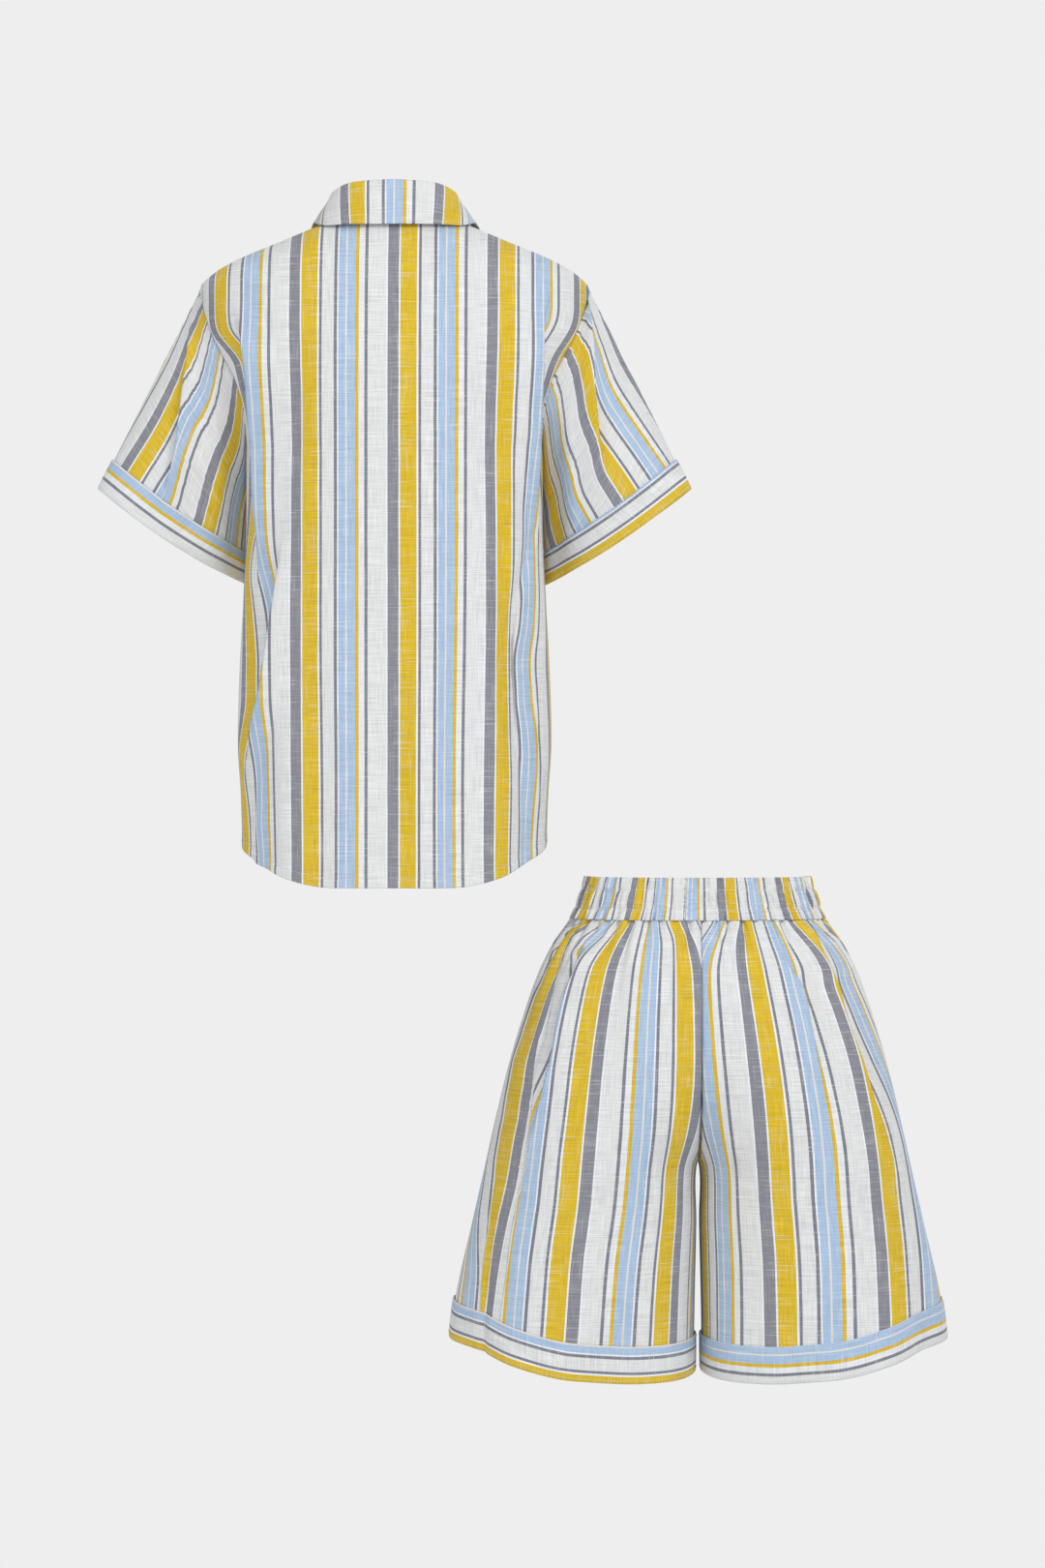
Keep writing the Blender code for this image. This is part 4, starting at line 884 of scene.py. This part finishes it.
def stitches(name, runs, settings):
    """A row of stitches along each run of points: short spindles, one for every pitch, lying on the cloth.

    Each run is its points, its outward normals and whether it closes on itself.
    """
    pitch, radius = settings.stitch_pitch, settings.thread_radius
    steps, lift, size = np.array(STITCH_RINGS).T * np.array([[pitch * STITCH_SHARE], [radius], [radius]])
    turns = np.array([0.0, 0.5, 1.0, 1.5]) * math.pi
    points, faces, start = [], [], 0
    for line, normals, closed in runs:
        if closed:
            line, normals = np.concatenate([line, line[:1]]), np.concatenate([normals, normals[:1]])
        run = run_along(line)
        count = int(run[-1] / pitch)
        places = (np.arange(count) + 0.5) * run[-1] / count
        at = np.clip(places[:, None] + steps, 0, run[-1])
        middle, out = read_line(at, run, line), unit(read_line(at, run, normals))
        along = unit(middle[:, -1:] - middle[:, :1])
        across = np.cross(along, out)
        middle = middle + out * lift[None, :, None]
        ring = across[:, :, None] * np.cos(turns)[:, None] + out[:, :, None] * np.sin(turns)[:, None]
        made = middle[:, :, None] + ring * size[None, :, None, None]
        sides = tube_faces(4, 4)[:, (0, 3, 2, 1)]
        one = np.concatenate([sides, [(3, 2, 1, 0), (12, 13, 14, 15)]])
        faces.append((one + start + np.arange(count)[:, None, None] * 16).reshape(-1, 4))
        points.append(made.reshape(-1, 3))
        start += count * 16
    obj = mesh_from_faces(name, np.concatenate(points), np.concatenate(faces))
    dress(obj, "sewing_thread")


def grid_run(grid, row, axis, closed=False, trim=0):
    """One row of a grid as a run for stitching. A part number reads between two rows."""
    normals = outward_normals(grid, closed, axis)
    low = int(row)
    share = row - low
    line = grid[low] * (1 - share) + grid[min(low + 1, len(grid) - 1)] * share
    kept = slice(trim, -trim or None)
    return line[kept], normals[low][kept], closed


def cloth_marks(across, down):
    """The cloth's coordinates over a grid, in metres: across its stripes and down them."""
    return np.stack(np.broadcast_arrays(across, down), axis=-1)


def shirt_panel(name, points, run, start, columns, settings, node):
    """A panel of the shirt with its turned-up hem and that hem's stitching. Its stripes begin at `start`."""
    grid, run = even_columns(points, columns, run)
    grid = stitched_hem(grid, outward_normals(grid, axis=(0, 0)), settings.turn_up)
    cloth_piece(name, grid, cloth_marks(run + start, -grid[..., 2]), settings, node)
    run = grid_run(grid, len(grid) - HEM_STITCH_ROW, (0, 0), trim=1)
    stitches(f"{name}_hem_stitches", [run], settings)


def sewn_band(name, grid, height, stripes, rows, settings, node):
    """A band with its rows of stitching. Its stripes run round it, from their beginning and in their way."""
    top, way = stripes
    down = np.linspace(0, 1, len(grid))[:, None] * height
    run = run_along(grid)
    run = np.concatenate([run, run[:, -1:] + JOIN_STEP], axis=1)
    marks = cloth_marks(top * settings.stripe_repeat + way * down, run)
    axis = tuple(grid[..., :2].mean(axis=(0, 1)))
    cloth_piece(name, grid, marks, settings, node, closed=True, axis=axis)
    stitches(f"{name}_stitches", [grid_run(grid, row, axis, True) for row in rows], settings)


# Materials


class Shade:
    """A socket in a material. Sums written with it add their own Math nodes."""

    def __init__(self, tree, socket=None):
        self.tree = tree
        self.socket = socket

    def node(self, kind, settings=None, sockets=None, out=0):
        """Adds a node of that type: its settings first, then the values or links of its sockets."""
        made = self.tree.nodes.new(kind)
        for name, value in (settings or {}).items():
            if name == "stops":
                self.set_stops(made.color_ramp, value)
            elif name == "blending":
                made.color_ramp.interpolation = value
            else:
                setattr(made, name, value)
        for name, value in (sockets or {}).items():
            if isinstance(value, Shade):
                self.tree.links.new(value.socket, made.inputs[name])
            else:
                made.inputs[name].default_value = value
        return Shade(self.tree, made.outputs[out] if len(made.outputs) else None)

    @staticmethod
    def set_stops(ramp, stops):
        """Gives a ramp its stops, each a place and a colour."""
        while len(ramp.elements) > 1:
            ramp.elements.remove(ramp.elements[-1])
        ramp.elements[0].position = stops[0][0]
        ramp.elements[0].color = stops[0][1]
        for place, colour in stops[1:]:
            ramp.elements.new(place).color = colour

    def maths(self, operation, *values, clamp=False):
        """A Math node on these values."""
        made = {"operation": operation, "use_clamp": clamp}
        return self.node("ShaderNodeMath", made, dict(enumerate(values)))

    def __add__(self, other):
        return self.maths("ADD", self, other)

    def __sub__(self, other):
        return self.maths("SUBTRACT", self, other)

    def __rsub__(self, other):
        return self.maths("SUBTRACT", other, self)

    def __mul__(self, other):
        return self.maths("MULTIPLY", self, other)

    def __truediv__(self, other):
        return self.maths("DIVIDE", self, other)

    __radd__ = __add__
    __rmul__ = __mul__

    def between(self, low, high):
        """0 at the low value, 1 at the high one, and straight between."""
        return self.maths("MULTIPLY", self - low, 1 / (high - low), clamp=True)

    def tint(self, other, share, blend="MIX"):
        """This colour mixed towards another by a share."""
        made = {0: share, 6: self, 7: other}
        return self.node("ShaderNodeMix", {"data_type": "RGBA", "blend_type": blend}, made, out=2)

    def fine_noise(self, across, down, scale_across, scale_down, detail=2.0):
        """Noise over the cloth, stretched by its own scales across and down the stripes."""
        places = {0: across * scale_across, 1: down * scale_down, 2: 0.0}
        where = self.node("ShaderNodeCombineXYZ", None, places)
        return self.node("ShaderNodeTexNoise", None, {"Vector": where, "Scale": 1.0, "Detail": detail})


def colour_of(settings, name):
    """A stripe's colour as four numbers."""
    return (*getattr(settings, f"{name}_stripe"), 1.0)


def striped_cotton(settings):
    """Slubby cotton with woven stripes, read off the cloth's own coordinates in metres."""
    made = bpy.data.materials.new("striped_cotton_looks")
    made.use_nodes = True
    tree = made.node_tree
    tree.nodes.clear()
    start = Shade(tree)
    marks = start.node("ShaderNodeUVMap", {"uv_map": "cloth"})
    split = marks.node("ShaderNodeSeparateXYZ", None, {0: marks})
    across = split
    down = Shade(tree, split.socket.node.outputs[1])
    wobble = start.fine_noise(across, down, 60.0, 45.0) - 0.5
    turned = across / settings.stripe_repeat + wobble * 0.0035
    share = start.maths("FRACT", turned)
    total = sum(width for width, _ in STRIPES)
    stops, place = [], 0.0
    for width, name in STRIPES:
        stops.append((place / total, colour_of(settings, name)))
        place += width
    stripe = start.node("ShaderNodeValToRGB", {"stops": stops, "blending": "CONSTANT"}, {0: share})
    warp = start.fine_noise(across, down, 1150.0, 34.0)
    weft = start.fine_noise(across, down, 34.0, 1000.0)
    patch = start.fine_noise(across, down, 30.0, 22.0)
    slub = start.fine_noise(across, down, 34.0, 820.0, 1.0).between(0.58, 0.74)
    slub_down = start.fine_noise(across, down, 860.0, 26.0, 1.0).between(0.60, 0.76)
    thread = (warp - 0.5) * settings.thread_contrast + (weft - 0.5) * settings.thread_contrast * 1.15
    shade = 1.0 + thread + (patch - 0.5) * 0.07
    tone = start.node("ShaderNodeCombineXYZ", None, {0: shade, 1: shade, 2: shade})
    woven = start.node("ShaderNodeVectorMath", {"operation": "MULTIPLY"}, {0: stripe, 1: tone})
    light = woven.tint((0.93, 0.93, 0.90, 1.0), slub * settings.slub_strength)
    light = light.tint((0.93, 0.93, 0.92, 1.0), slub_down * settings.slub_strength * 0.8)
    pitch = settings.thread_pitch
    wave_across = start.maths("SINE", across * (2 * math.pi / pitch))
    wave_down = start.maths("SINE", down * (2 * math.pi / pitch))
    height = wave_across * wave_down * 0.25 + (warp + weft) * 0.5 + slub * 0.7 + slub_down * 0.4
    bump = start.node("ShaderNodeBump", None, {"Strength": 0.32, "Distance": 0.0004, "Height": height})
    rough = 0.84 + (weft - 0.5) * 0.10 - slub * 0.04
    shader = start.node("ShaderNodeBsdfPrincipled", None, {
        "Base Color": light, "Roughness": rough, "Normal": bump,
        "Sheen Weight": 0.12, "Sheen Roughness": 0.5, "Specular IOR Level": 0.25,
    })
    start.node("ShaderNodeOutputMaterial", None, {"Surface": shader})
    return made


def plain_material(name, colour, roughness, specular, bump_scale, bump_strength):
    """A plain finish with a faint mottle, read off object coordinates."""
    made = bpy.data.materials.new(name)
    made.use_nodes = True
    tree = made.node_tree
    tree.nodes.clear()
    start = Shade(tree)
    where = start.node("ShaderNodeTexCoord", None, None, out=3)
    grain = start.node("ShaderNodeTexNoise", None, {"Vector": where, "Scale": bump_scale, "Detail": 3.0})
    tinted = start.node("ShaderNodeMix", {"data_type": "RGBA"}, {
        0: grain * 0.6, 6: (*colour, 1.0), 7: (*[c * 0.86 for c in colour], 1.0)}, out=2)
    bump = start.node("ShaderNodeBump", None, {
        "Strength": bump_strength, "Distance": 0.0002, "Height": grain})
    shader = start.node("ShaderNodeBsdfPrincipled", None, {
        "Base Color": tinted, "Roughness": roughness, "Specular IOR Level": specular, "Normal": bump})
    start.node("ShaderNodeOutputMaterial", None, {"Surface": shader})
    return made


# Settings


def stripe_colour(name, red, green, blue):
    """A colour property for one stripe."""
    description = f"Colour of the {name.lower()} threads"
    default = (red, green, blue)
    return FloatVectorProperty(name=name, description=description, subtype="COLOR", default=default)


def length_property(name, description, default):
    """A length in metres."""
    return FloatProperty(name=name, description=description, default=default, unit="LENGTH", precision=4)


def number_property(name, description, default):
    """A plain number."""
    return FloatProperty(name=name, description=description, default=default)


class GarmentCloth(bpy.types.PropertyGroup):
    """The woven cloth and its thread."""

    stripe_repeat: length_property("Stripe repeat", "Width of one repeat of the stripes", 0.1012)
    shorts_scale: number_property("Shorts scale", "How much wider the shorts' stripes are", 1.12)
    cloth_thickness: length_property("Thickness", "Thickness of one layer of cloth", 0.0010)
    thread_pitch: length_property("Thread pitch", "Distance from one thread to the next", 0.0011)
    thread_contrast: number_property("Thread contrast", "How uneven the threads' tone is", 0.55)
    slub_strength: number_property("Slubs", "How much lighter the thick threads are", 0.34)
    stitch_pitch: length_property("Stitch", "Distance from one stitch to the next", 0.0032)
    thread_radius: length_property("Thread", "Radius of the sewing thread", 0.00028)
    turn_up: length_property("Hem", "Height of the shirt's turned-up hem", 0.0095)
    grey_stripe: stripe_colour("Grey", 0.272, 0.276, 0.318)
    edge_stripe: stripe_colour("White edge", 0.90, 0.93, 0.96)
    yellow_stripe: stripe_colour("Yellow", 0.755, 0.520, 0.024)
    slate_stripe: stripe_colour("Slate", 0.225, 0.235, 0.285)
    white_stripe: stripe_colour("White", 0.800, 0.810, 0.815)
    blue_stripe: stripe_colour("Blue", 0.430, 0.585, 0.800)
    cream_stripe: stripe_colour("Cream", 0.860, 0.800, 0.720)
    gold_stripe: stripe_colour("Gold", 0.760, 0.500, 0.024)
    pale_stripe: stripe_colour("Pale", 0.830, 0.860, 0.880)


class GarmentStage(bpy.types.PropertyGroup):
    """The camera, the light and the floor."""

    distance: length_property("Camera distance", "From the camera to the garments", 4.5)
    lens: number_property("Lens", "Focal length in millimetres", 100.0)
    backdrop: number_property("Backdrop", "Brightness of the surroundings", 0.855)
    ambient: number_property("Ambient", "How much of that brightness falls on the garments", 0.62)
    key: number_property("Key light", "Power of the main light in watts", 62.0)
    floor_drop: length_property("Floor drop", "From the lowest hem to the floor", 0.62)
    floor_radius: length_property("Floor radius", "Radius of the pale floor", 1.9)


# Pieces


def settings_of(context):
    """The cloth settings, with the materials made on their first use."""
    settings = context.scene.garment_cloth
    if "striped_cotton_looks" not in bpy.data.materials:
        striped_cotton(settings)
        plain_material("sewing_thread", (0.82, 0.82, 0.80), 0.7, 0.3, 900.0, 0.3)
        plain_material("shell_looks", (0.86, 0.84, 0.78), 0.28, 0.5, 160.0, 0.08)
        plain_material("floor_looks", (0.80, 0.80, 0.80), 0.9, 0.1, 6.0, 0.02)
    return settings


class GARMENT_OT_shirt_back(bpy.types.Operator):
    """Make the shirt's one-piece back"""

    bl_idname = "garment.shirt_back"
    bl_label = "Shirt back"

    def execute(self, context):
        settings = settings_of(context)
        rows, columns = BACK_GRID
        z = shirt_levels(rows, settings.turn_up)
        stop = np.full((len(z), 1), 1 - SEAM / HALF_ROUND)
        points, across = shirt_rows(False, z, -stop, stop, BACK_FOLDS, BACK_DENSE)
        run = stripe_run(points, across)
        shirt_panel("shirt_back", points, run, BACK_STRIPES, columns, settings, "top_back")
        return {"FINISHED"}


class GARMENT_OT_shirt_fronts(bpy.types.Operator):
    """Make the shirt's two fronts"""

    bl_idname = "garment.shirt_fronts"
    bl_label = "Shirt fronts"

    def execute(self, context):
        settings = settings_of(context)
        rows, columns = FRONT_GRID
        z = shirt_levels(rows, settings.turn_up)
        for side, name in SIDES:
            first = front_start(side, z)
            last = np.full((len(z), 1), (1 - SEAM / HALF_ROUND) * side)
            points, _ = shirt_rows(True, z, first * side, last, FRONT_FOLDS, FRONT_DENSE)
            run = (run_along(points) + first * HALF_ROUND) * side
            shirt_panel(f"shirt_front_{name}", points, run, FRONT_STRIPES, columns, settings,
                        f"top_front_{name}")
        return {"FINISHED"}


class GARMENT_OT_button_band(bpy.types.Operator):
    """Make the button band and its buttons"""

    bl_idname = "garment.button_band"
    bl_label = "Button band and buttons"

    def execute(self, context):
        settings = settings_of(context)
        rows, columns = BAND_GRID
        z = np.linspace(BAND_TOP, HEM_Z, rows)
        section = shirt_section(True, z)
        run = run_along(section)
        reach = read_rows(np.full((len(z), 1), BAND_HALF), section[..., 0], run / run[:, -1:])
        points, _ = shirt_rows(True, z, reach, -reach, FRONT_FOLDS, BAND_DENSE)
        base = even_columns(points, columns)[0]
        normals = outward_normals(base, axis=(0, 0))
        across = np.linspace(-1, 1, columns)
        dip = BAND_DIP * np.exp(-((np.abs(across) - BAND_DIP_AT) / BAND_DIP_WIDTH) ** 2)
        grid = base + normals * (BAND_LIFT - dip)[None, :, None]
        marks = cloth_marks(BAND_STRIPES - across * BAND_HALF, -grid[..., 2])
        cloth_piece("button_band", grid, marks, settings, "top_placket")
        runs = [(grid[2:-2, column], normals[2:-2, column], False) for column in (1, -2)]
        stitches("button_band_stitches", runs, settings)
        middle = np.concatenate([grid[:, columns // 2], normals[:, columns // 2]], axis=-1)
        for number in range(BUTTONS):
            down = BUTTON_PITCH * number - BUTTON_TOP
            found = read_line(down, -middle[:, 2], middle)
            self.button(number + 1, found[:3], unit(found[3:]))
        return {"FINISHED"}

    def button(self, number, place, axis):
        """A dished disc with a rolled rim: its height is a ring's profile less four round wells."""
        right = unit(np.cross(axis, (0, 0, 1)))
        up = np.cross(right, axis)
        base = place + axis * BUTTON_CLEAR
        share = np.concatenate([[0.0], np.linspace(0.06, 0.72, 15), [0.78, 0.84, 0.90, 0.95, 0.985, 1.0]])
        turns = np.linspace(0, 2 * math.pi, 48, endpoint=False)
        radius, turn = np.meshgrid(share * BUTTON_RADIUS, turns, indexing="ij")
        x, y = radius * np.cos(turn), radius * np.sin(turn)
        rim = np.exp(-((share - 0.86) / 0.11) ** 2)[:, None]
        height = BUTTON_THICK * (0.62 + 0.36 * rim) * np.sqrt(np.clip(1 - share ** 14, 0, 1))[:, None]
        for hole_x, hole_y in ((1, 1), (1, -1), (-1, 1), (-1, -1)):
            apart = np.hypot(x - hole_x * HOLE_OFF, y - hole_y * HOLE_OFF)
            height = height - BUTTON_THICK * 0.5 * smoothstep((HOLE_RADIUS - apart) / HOLE_RIM)
        plan = x[..., None] * right + y[..., None] * up
        rings = np.concatenate([base + plan + height[..., None] * axis, base + plan[::-1][1:] * 0.98])
        obj = mesh_from_faces(f"button_{number}", rings.reshape(-1, 3), tube_faces(len(rings), len(turns)))
        weld = obj.modifiers.new("weld", "WELD")
        weld.merge_threshold = 0.00001
        dress(obj, "shell_looks")
        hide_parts(f"top_button_{number}")
        turns = np.linspace(-1, 1, 9)
        arc = base + axis * (BUTTON_THICK * 0.62 + 0.0004 * (1 - turns ** 2))[:, None]
        self.thread(number, [arc + (right * turns[:, None] + up * way) * HOLE_OFF for way in (1, -1)], axis)

    def thread(self, number, runs, axis):
        """Two loops of thread across the button, each a six-sided tube along its points."""
        points, faces = [], []
        turns = np.linspace(0, 2 * math.pi, 6, endpoint=False)
        for index, line in enumerate(runs):
            along = unit(np.gradient(line, axis=0))
            side = unit(np.cross(along, axis))
            out = np.cross(side, along)
            ring = side[:, None] * np.cos(turns)[:, None] + out[:, None] * np.sin(turns)[:, None]
            faces.append(tube_faces(len(line), len(turns))[:, (0, 3, 2, 1)] + index * len(line) * len(turns))
            points.append((line[:, None] + ring * BUTTON_THREAD).reshape(-1, 3))
        obj = mesh_from_faces(f"button_thread_{number}", np.concatenate(points), np.concatenate(faces))
        dress(obj, "sewing_thread")


class GARMENT_OT_collar(bpy.types.Operator):
    """Make the folded collar"""

    bl_idname = "garment.collar"
    bl_label = "Collar"

    def execute(self, context):
        settings = settings_of(context)
        grid = collar_grid()
        run = run_along(grid[0])
        run = run - run[len(run) // 2]
        width = grid[COLLAR_TOP_ROW, :, 0]
        across = run + (width - run) * smoothstep(1 - np.abs(run) / COLLAR_SOFT) * 0.5
        past = np.maximum(np.abs(across) - COLLAR_EASE[0], 0)
        across = across - np.sign(across) * past * COLLAR_EASE[1] * smoothstep(1 - past / COLLAR_SOFT)
        drop = run_along(grid.transpose(1, 0, 2)).T
        marks = cloth_marks(across + COLLAR_STRIPES * settings.stripe_repeat, drop)
        cloth_piece("collar", grid, marks, settings, "top_collar")
        run = grid_run(grid, len(grid) - COLLAR_STITCH_ROW, (0, 0), trim=5)
        stitches("collar_stitches", [run], settings)
        return {"FINISHED"}


class GARMENT_OT_sleeves(bpy.types.Operator):
    """Make the sleeves and their turned-back cuffs"""

    bl_idname = "garment.sleeves"
    bl_label = "Sleeves and cuffs"

    def execute(self, context):
        settings = settings_of(context)
        dense = np.linspace(-0.5, 0.5, SLEEVE_DENSE)
        reach = np.linalg.norm(opening_points(dense) - armhole_points(dense), axis=1)
        rows, columns = SLEEVE_GRID
        way_down = np.linspace(0, 1, rows)
        for side, name in SIDES:
            points = sleeve_rows(side, way_down[:, None] * (1 - TUCK / reach), dense) * np.array([side, 1, 1])
            grid, around = even_columns(points, columns, np.broadcast_to(dense, points.shape[:2]))
            run = run_along(grid)
            share = run / run[:, -1:]
            swing = smooth_table(SLEEVE_SWING, name, way_down)[:, None]
            across = (swing - (share - crossing(around, share)) * run[-1, -1]) * side
            across = across + SLEEVE_STRIPES[name] * settings.stripe_repeat
            marks = cloth_marks(across, run_along(grid.transpose(1, 0, 2)).T)
            grid = grid[:, :-1]
            axis = tuple(grid[..., :2].mean(axis=(0, 1)))
            cloth_piece(f"sleeve_{name}", grid, marks, settings, f"top_sleeve_{name}", closed=True, axis=axis)
            self.cuff(side, name, settings, dense, reach)
        return {"FINISHED"}

    def cuff(self, side, name, settings, dense, reach):
        """The band round the sleeve's opening: the sleeve's own rows there, moved out by one layer."""
        rows, columns = CUFF_GRID
        up = np.linspace(1, 0, rows)[:, None]
        points = sleeve_rows(side, 1 - CUFF_HEIGHT * up / reach, dense) * np.array([side, 1, 1])
        grid = even_columns(points, columns)[0][:, :-1]
        lift = CUFF_LIFT + CUFF_ROLL * np.sin(math.pi * up) ** 0.5
        grid = grid + outward_normals(grid, True) * lift[..., None]
        sewn_band(f"cuff_{name}", grid, CUFF_HEIGHT, CUFF_STRIPES[name], CUFF_STITCH_ROWS, settings,
                  f"top_cuff_{name}")


class GARMENT_OT_shorts_panels(bpy.types.Operator):
    """Make the two backs and two fronts of the shorts"""

    bl_idname = "garment.shorts_panels"
    bl_label = "Shorts panels"

    def execute(self, context):
        settings = settings_of(context)
        for where, columns in (("back", SHORTS_BACK_COLUMNS), ("front", SHORTS_FRONT_COLUMNS)):
            is_front = where == "front"
            for side, name in SIDES:
                points = leg_rows(is_front, side, LEG_DENSE)
                grid, across = even_columns(points, columns, shorts_stripes(points, is_front, side))
                scale = settings.shorts_scale * (RIGHT_LEG_WIDER if side > 0 else 1.0)
                across = across / scale + SHORTS_STRIPES[where, name] * settings.stripe_repeat
                axis = (WAIST_AT[0] + side * LEG_AXIS, 0.0)
                marks = cloth_marks(across, -grid[..., 2])
                cloth_piece(f"shorts_{where}_panel_{name}", grid, marks, settings, f"shorts_{where}_{name}",
                            axis=axis)
        return {"FINISHED"}


class GARMENT_OT_waistband(bpy.types.Operator):
    """Make the gathered elastic waistband with its two rows of stitching"""

    bl_idname = "garment.waistband"
    bl_label = "Waistband"

    def execute(self, context):
        settings = settings_of(context)
        rows, columns = WAISTBAND_GRID
        z = np.linspace(0, -WAISTBAND, rows)[:, None]
        angle = np.linspace(-math.pi / 2, 1.5 * math.pi, WAISTBAND_DENSE)
        z, angle = np.broadcast_arrays(z, angle)
        points = waistband_rows(z, angle)
        grid, around = even_columns(points, columns, angle)
        flat, place = grid[rows // 2, :, :2], around[rows // 2]
        even = np.ones(WAIST_SMOOTH) / WAIST_SMOOTH
        smooth = np.stack([np.convolve(values, even, "same") for values in flat.T], axis=-1)
        ends = WAIST_SMOOTH // 2 + 1
        smooth[:ends], smooth[-ends:] = flat[:ends], flat[-ends:]
        run = run_along(smooth)
        x = smooth[:, 0] - WAIST_AT[0]
        full = WAISTBAND_FULLNESS / settings.shorts_scale
        repeat = settings.stripe_repeat
        left, right = (smooth_table(table, "repeats", x) * repeat for table in (WAIST_LEFT, WAIST_RIGHT))
        ends = [np.interp(angle_at, place, run) for angle_at in (0, math.pi)]
        across = np.where(x < WAIST_JOINT, left, right)
        across = np.where(place < 0, right[np.argmax(x)] + (ends[0] - run) * full, across)
        across = np.where(place > math.pi, left[np.argmin(x)] + (ends[1] - run) * full, across)
        across = np.interp(around, place, across)
        down = np.linspace(0, 1, len(grid))[:, None]
        sway = drift(place, 41, 14) * np.sin(down * 7.2) + drift(place, 43, 19) * np.cos(down * 5.0)
        marks = cloth_marks(across + WAIST_SWAY * sway, -grid[..., 2])
        grid = grid[:, :-1]
        axis = WAIST_AT[:2]
        cloth_piece("waistband", grid, marks, settings, "shorts_waistband", closed=True,
                    axis=axis)
        levels = [row / WAISTBAND * (rows - 1) for row in WAISTBAND_STITCHES]
        stitches("waistband_stitches", [grid_run(grid, level, axis, True) for level in levels], settings)
        return {"FINISHED"}


class GARMENT_OT_leg_bands(bpy.types.Operator):
    """Make the bands round the shorts' hems"""

    bl_idname = "garment.leg_bands"
    bl_label = "Leg bands"

    def execute(self, context):
        settings = settings_of(context)
        rows, columns = LEG_BAND_GRID
        for side, name in SIDES:
            grid = band_rows(side, rows, LEG_BAND_DENSE)
            grid = even_columns(np.concatenate([grid, grid[:, :1]], axis=1), columns)[0][:, :-1]
            sewn_band(f"leg_band_{name}", grid, LEG_BAND, LEG_BAND_STRIPES[name], LEG_BAND_STITCH_ROWS,
                      settings, f"shorts_cuff_{name}")
        return {"FINISHED"}


class GARMENT_OT_stage(bpy.types.Operator):
    """Make the floor, the soft studio light and the camera at the photo's angle"""

    bl_idname = "garment.stage"
    bl_label = "Stage"

    def execute(self, context):
        settings_of(context)
        stage = context.scene.garment_stage
        low, high = CAD_BOX
        turns = np.linspace(0, 2 * math.pi, 96, endpoint=False)
        middle = (low + high) / 2
        level = low[2] - stage.floor_drop
        ring = np.column_stack([np.cos(turns), np.sin(turns), np.zeros(len(turns))]) * stage.floor_radius
        ring = ring + np.array([middle[0], middle[1], level])
        floor = mesh_from_faces("floor", ring, np.arange(len(turns))[None])
        floor.data.materials.append(bpy.data.materials["floor_looks"])
        self.lights(stage, middle)
        self.camera(context, stage)
        world = context.scene.world or bpy.data.worlds.new("surroundings")
        context.scene.world = world
        world.use_nodes = True
        world.node_tree.nodes.clear()
        start = Shade(world.node_tree)
        grey = (*[stage.backdrop] * 3, 1.0)
        cast, seen = (start.node("ShaderNodeBackground", None, {"Color": grey, "Strength": strength})
                      for strength in (stage.ambient, 1.0))
        path = start.node("ShaderNodeLightPath")
        sky = start.node("ShaderNodeMixShader", None, {0: path, 1: cast, 2: seen})
        start.node("ShaderNodeOutputWorld", None, {"Surface": sky})
        context.scene.view_settings.view_transform = "Standard"
        return {"FINISHED"}

    def lights(self, stage, middle):
        """Large soft lights: the key high on the right, weaker ones left and low, and one behind."""
        for name, place, size, power in (
            ("key", (2.1, -3.2, 1.8), 1.8, stage.key),
            ("fill", (-3.0, -3.0, 0.4), 2.2, stage.key * 0.40),
            ("front", (0.13, -4.6, -1.1), 1.6, stage.key * 0.35),
            ("back_key", (1.8, 3.4, 1.2), 2.2, stage.key * 0.5),
        ):
            data = bpy.data.lights.new(name, "AREA")
            data.shape, data.size, data.energy = "DISK", size, power
            light = bpy.data.objects.new(name, data)
            bpy.context.scene.collection.objects.link(light)
            light.location = place
            target = Vector(tuple(middle)) - Vector(place)
            light.rotation_euler = target.to_track_quat("-Z", "Y").to_euler()

    def camera(self, context, stage):
        """A level camera whose frame is 1080 by 1620 at one millimetre a pixel where the garments hang."""
        data = bpy.data.cameras.new("camera")
        data.lens, data.sensor_width, data.sensor_fit = stage.lens, 36.0, "AUTO"
        camera = bpy.data.objects.new("camera", data)
        context.scene.collection.objects.link(camera)
        camera.location = (CAMERA_X, -stage.distance, CAMERA_Z)
        camera.rotation_euler = (math.pi / 2, 0, 0)
        context.scene.camera = camera


class GARMENT_PT_panel(bpy.types.Panel):
    """Buttons for each group of pieces, and their settings"""

    bl_idname = "GARMENT_PT_panel"
    bl_label = "Striped shirt and shorts"
    bl_space_type = "VIEW_3D"
    bl_region_type = "UI"
    bl_category = "Garments"

    def draw(self, context):
        for operator in OPERATORS:
            self.layout.operator(operator.bl_idname)
        for group in (context.scene.garment_cloth, context.scene.garment_stage):
            box = self.layout.box()
            for name in group.__annotations__:
                box.prop(group, name)


OPERATORS = (
    GARMENT_OT_shirt_back, GARMENT_OT_shirt_fronts, GARMENT_OT_button_band, GARMENT_OT_collar,
    GARMENT_OT_sleeves, GARMENT_OT_shorts_panels, GARMENT_OT_waistband, GARMENT_OT_leg_bands,
    GARMENT_OT_stage,
)
CLASSES = (GarmentCloth, GarmentStage, *OPERATORS, GARMENT_PT_panel)


def register():
    for cls in CLASSES:
        bpy.utils.register_class(cls)
    bpy.types.Scene.garment_cloth = PointerProperty(type=GarmentCloth)
    bpy.types.Scene.garment_stage = PointerProperty(type=GarmentStage)


def unregister():
    del bpy.types.Scene.garment_stage
    del bpy.types.Scene.garment_cloth
    for cls in reversed(CLASSES):
        bpy.utils.unregister_class(cls)


def main():
    """Makes every piece in order."""
    register()
    for operator in OPERATORS:
        group, name = operator.bl_idname.split(".")
        getattr(getattr(bpy.ops, group), name)()


if __name__ == "__main__":
    main()
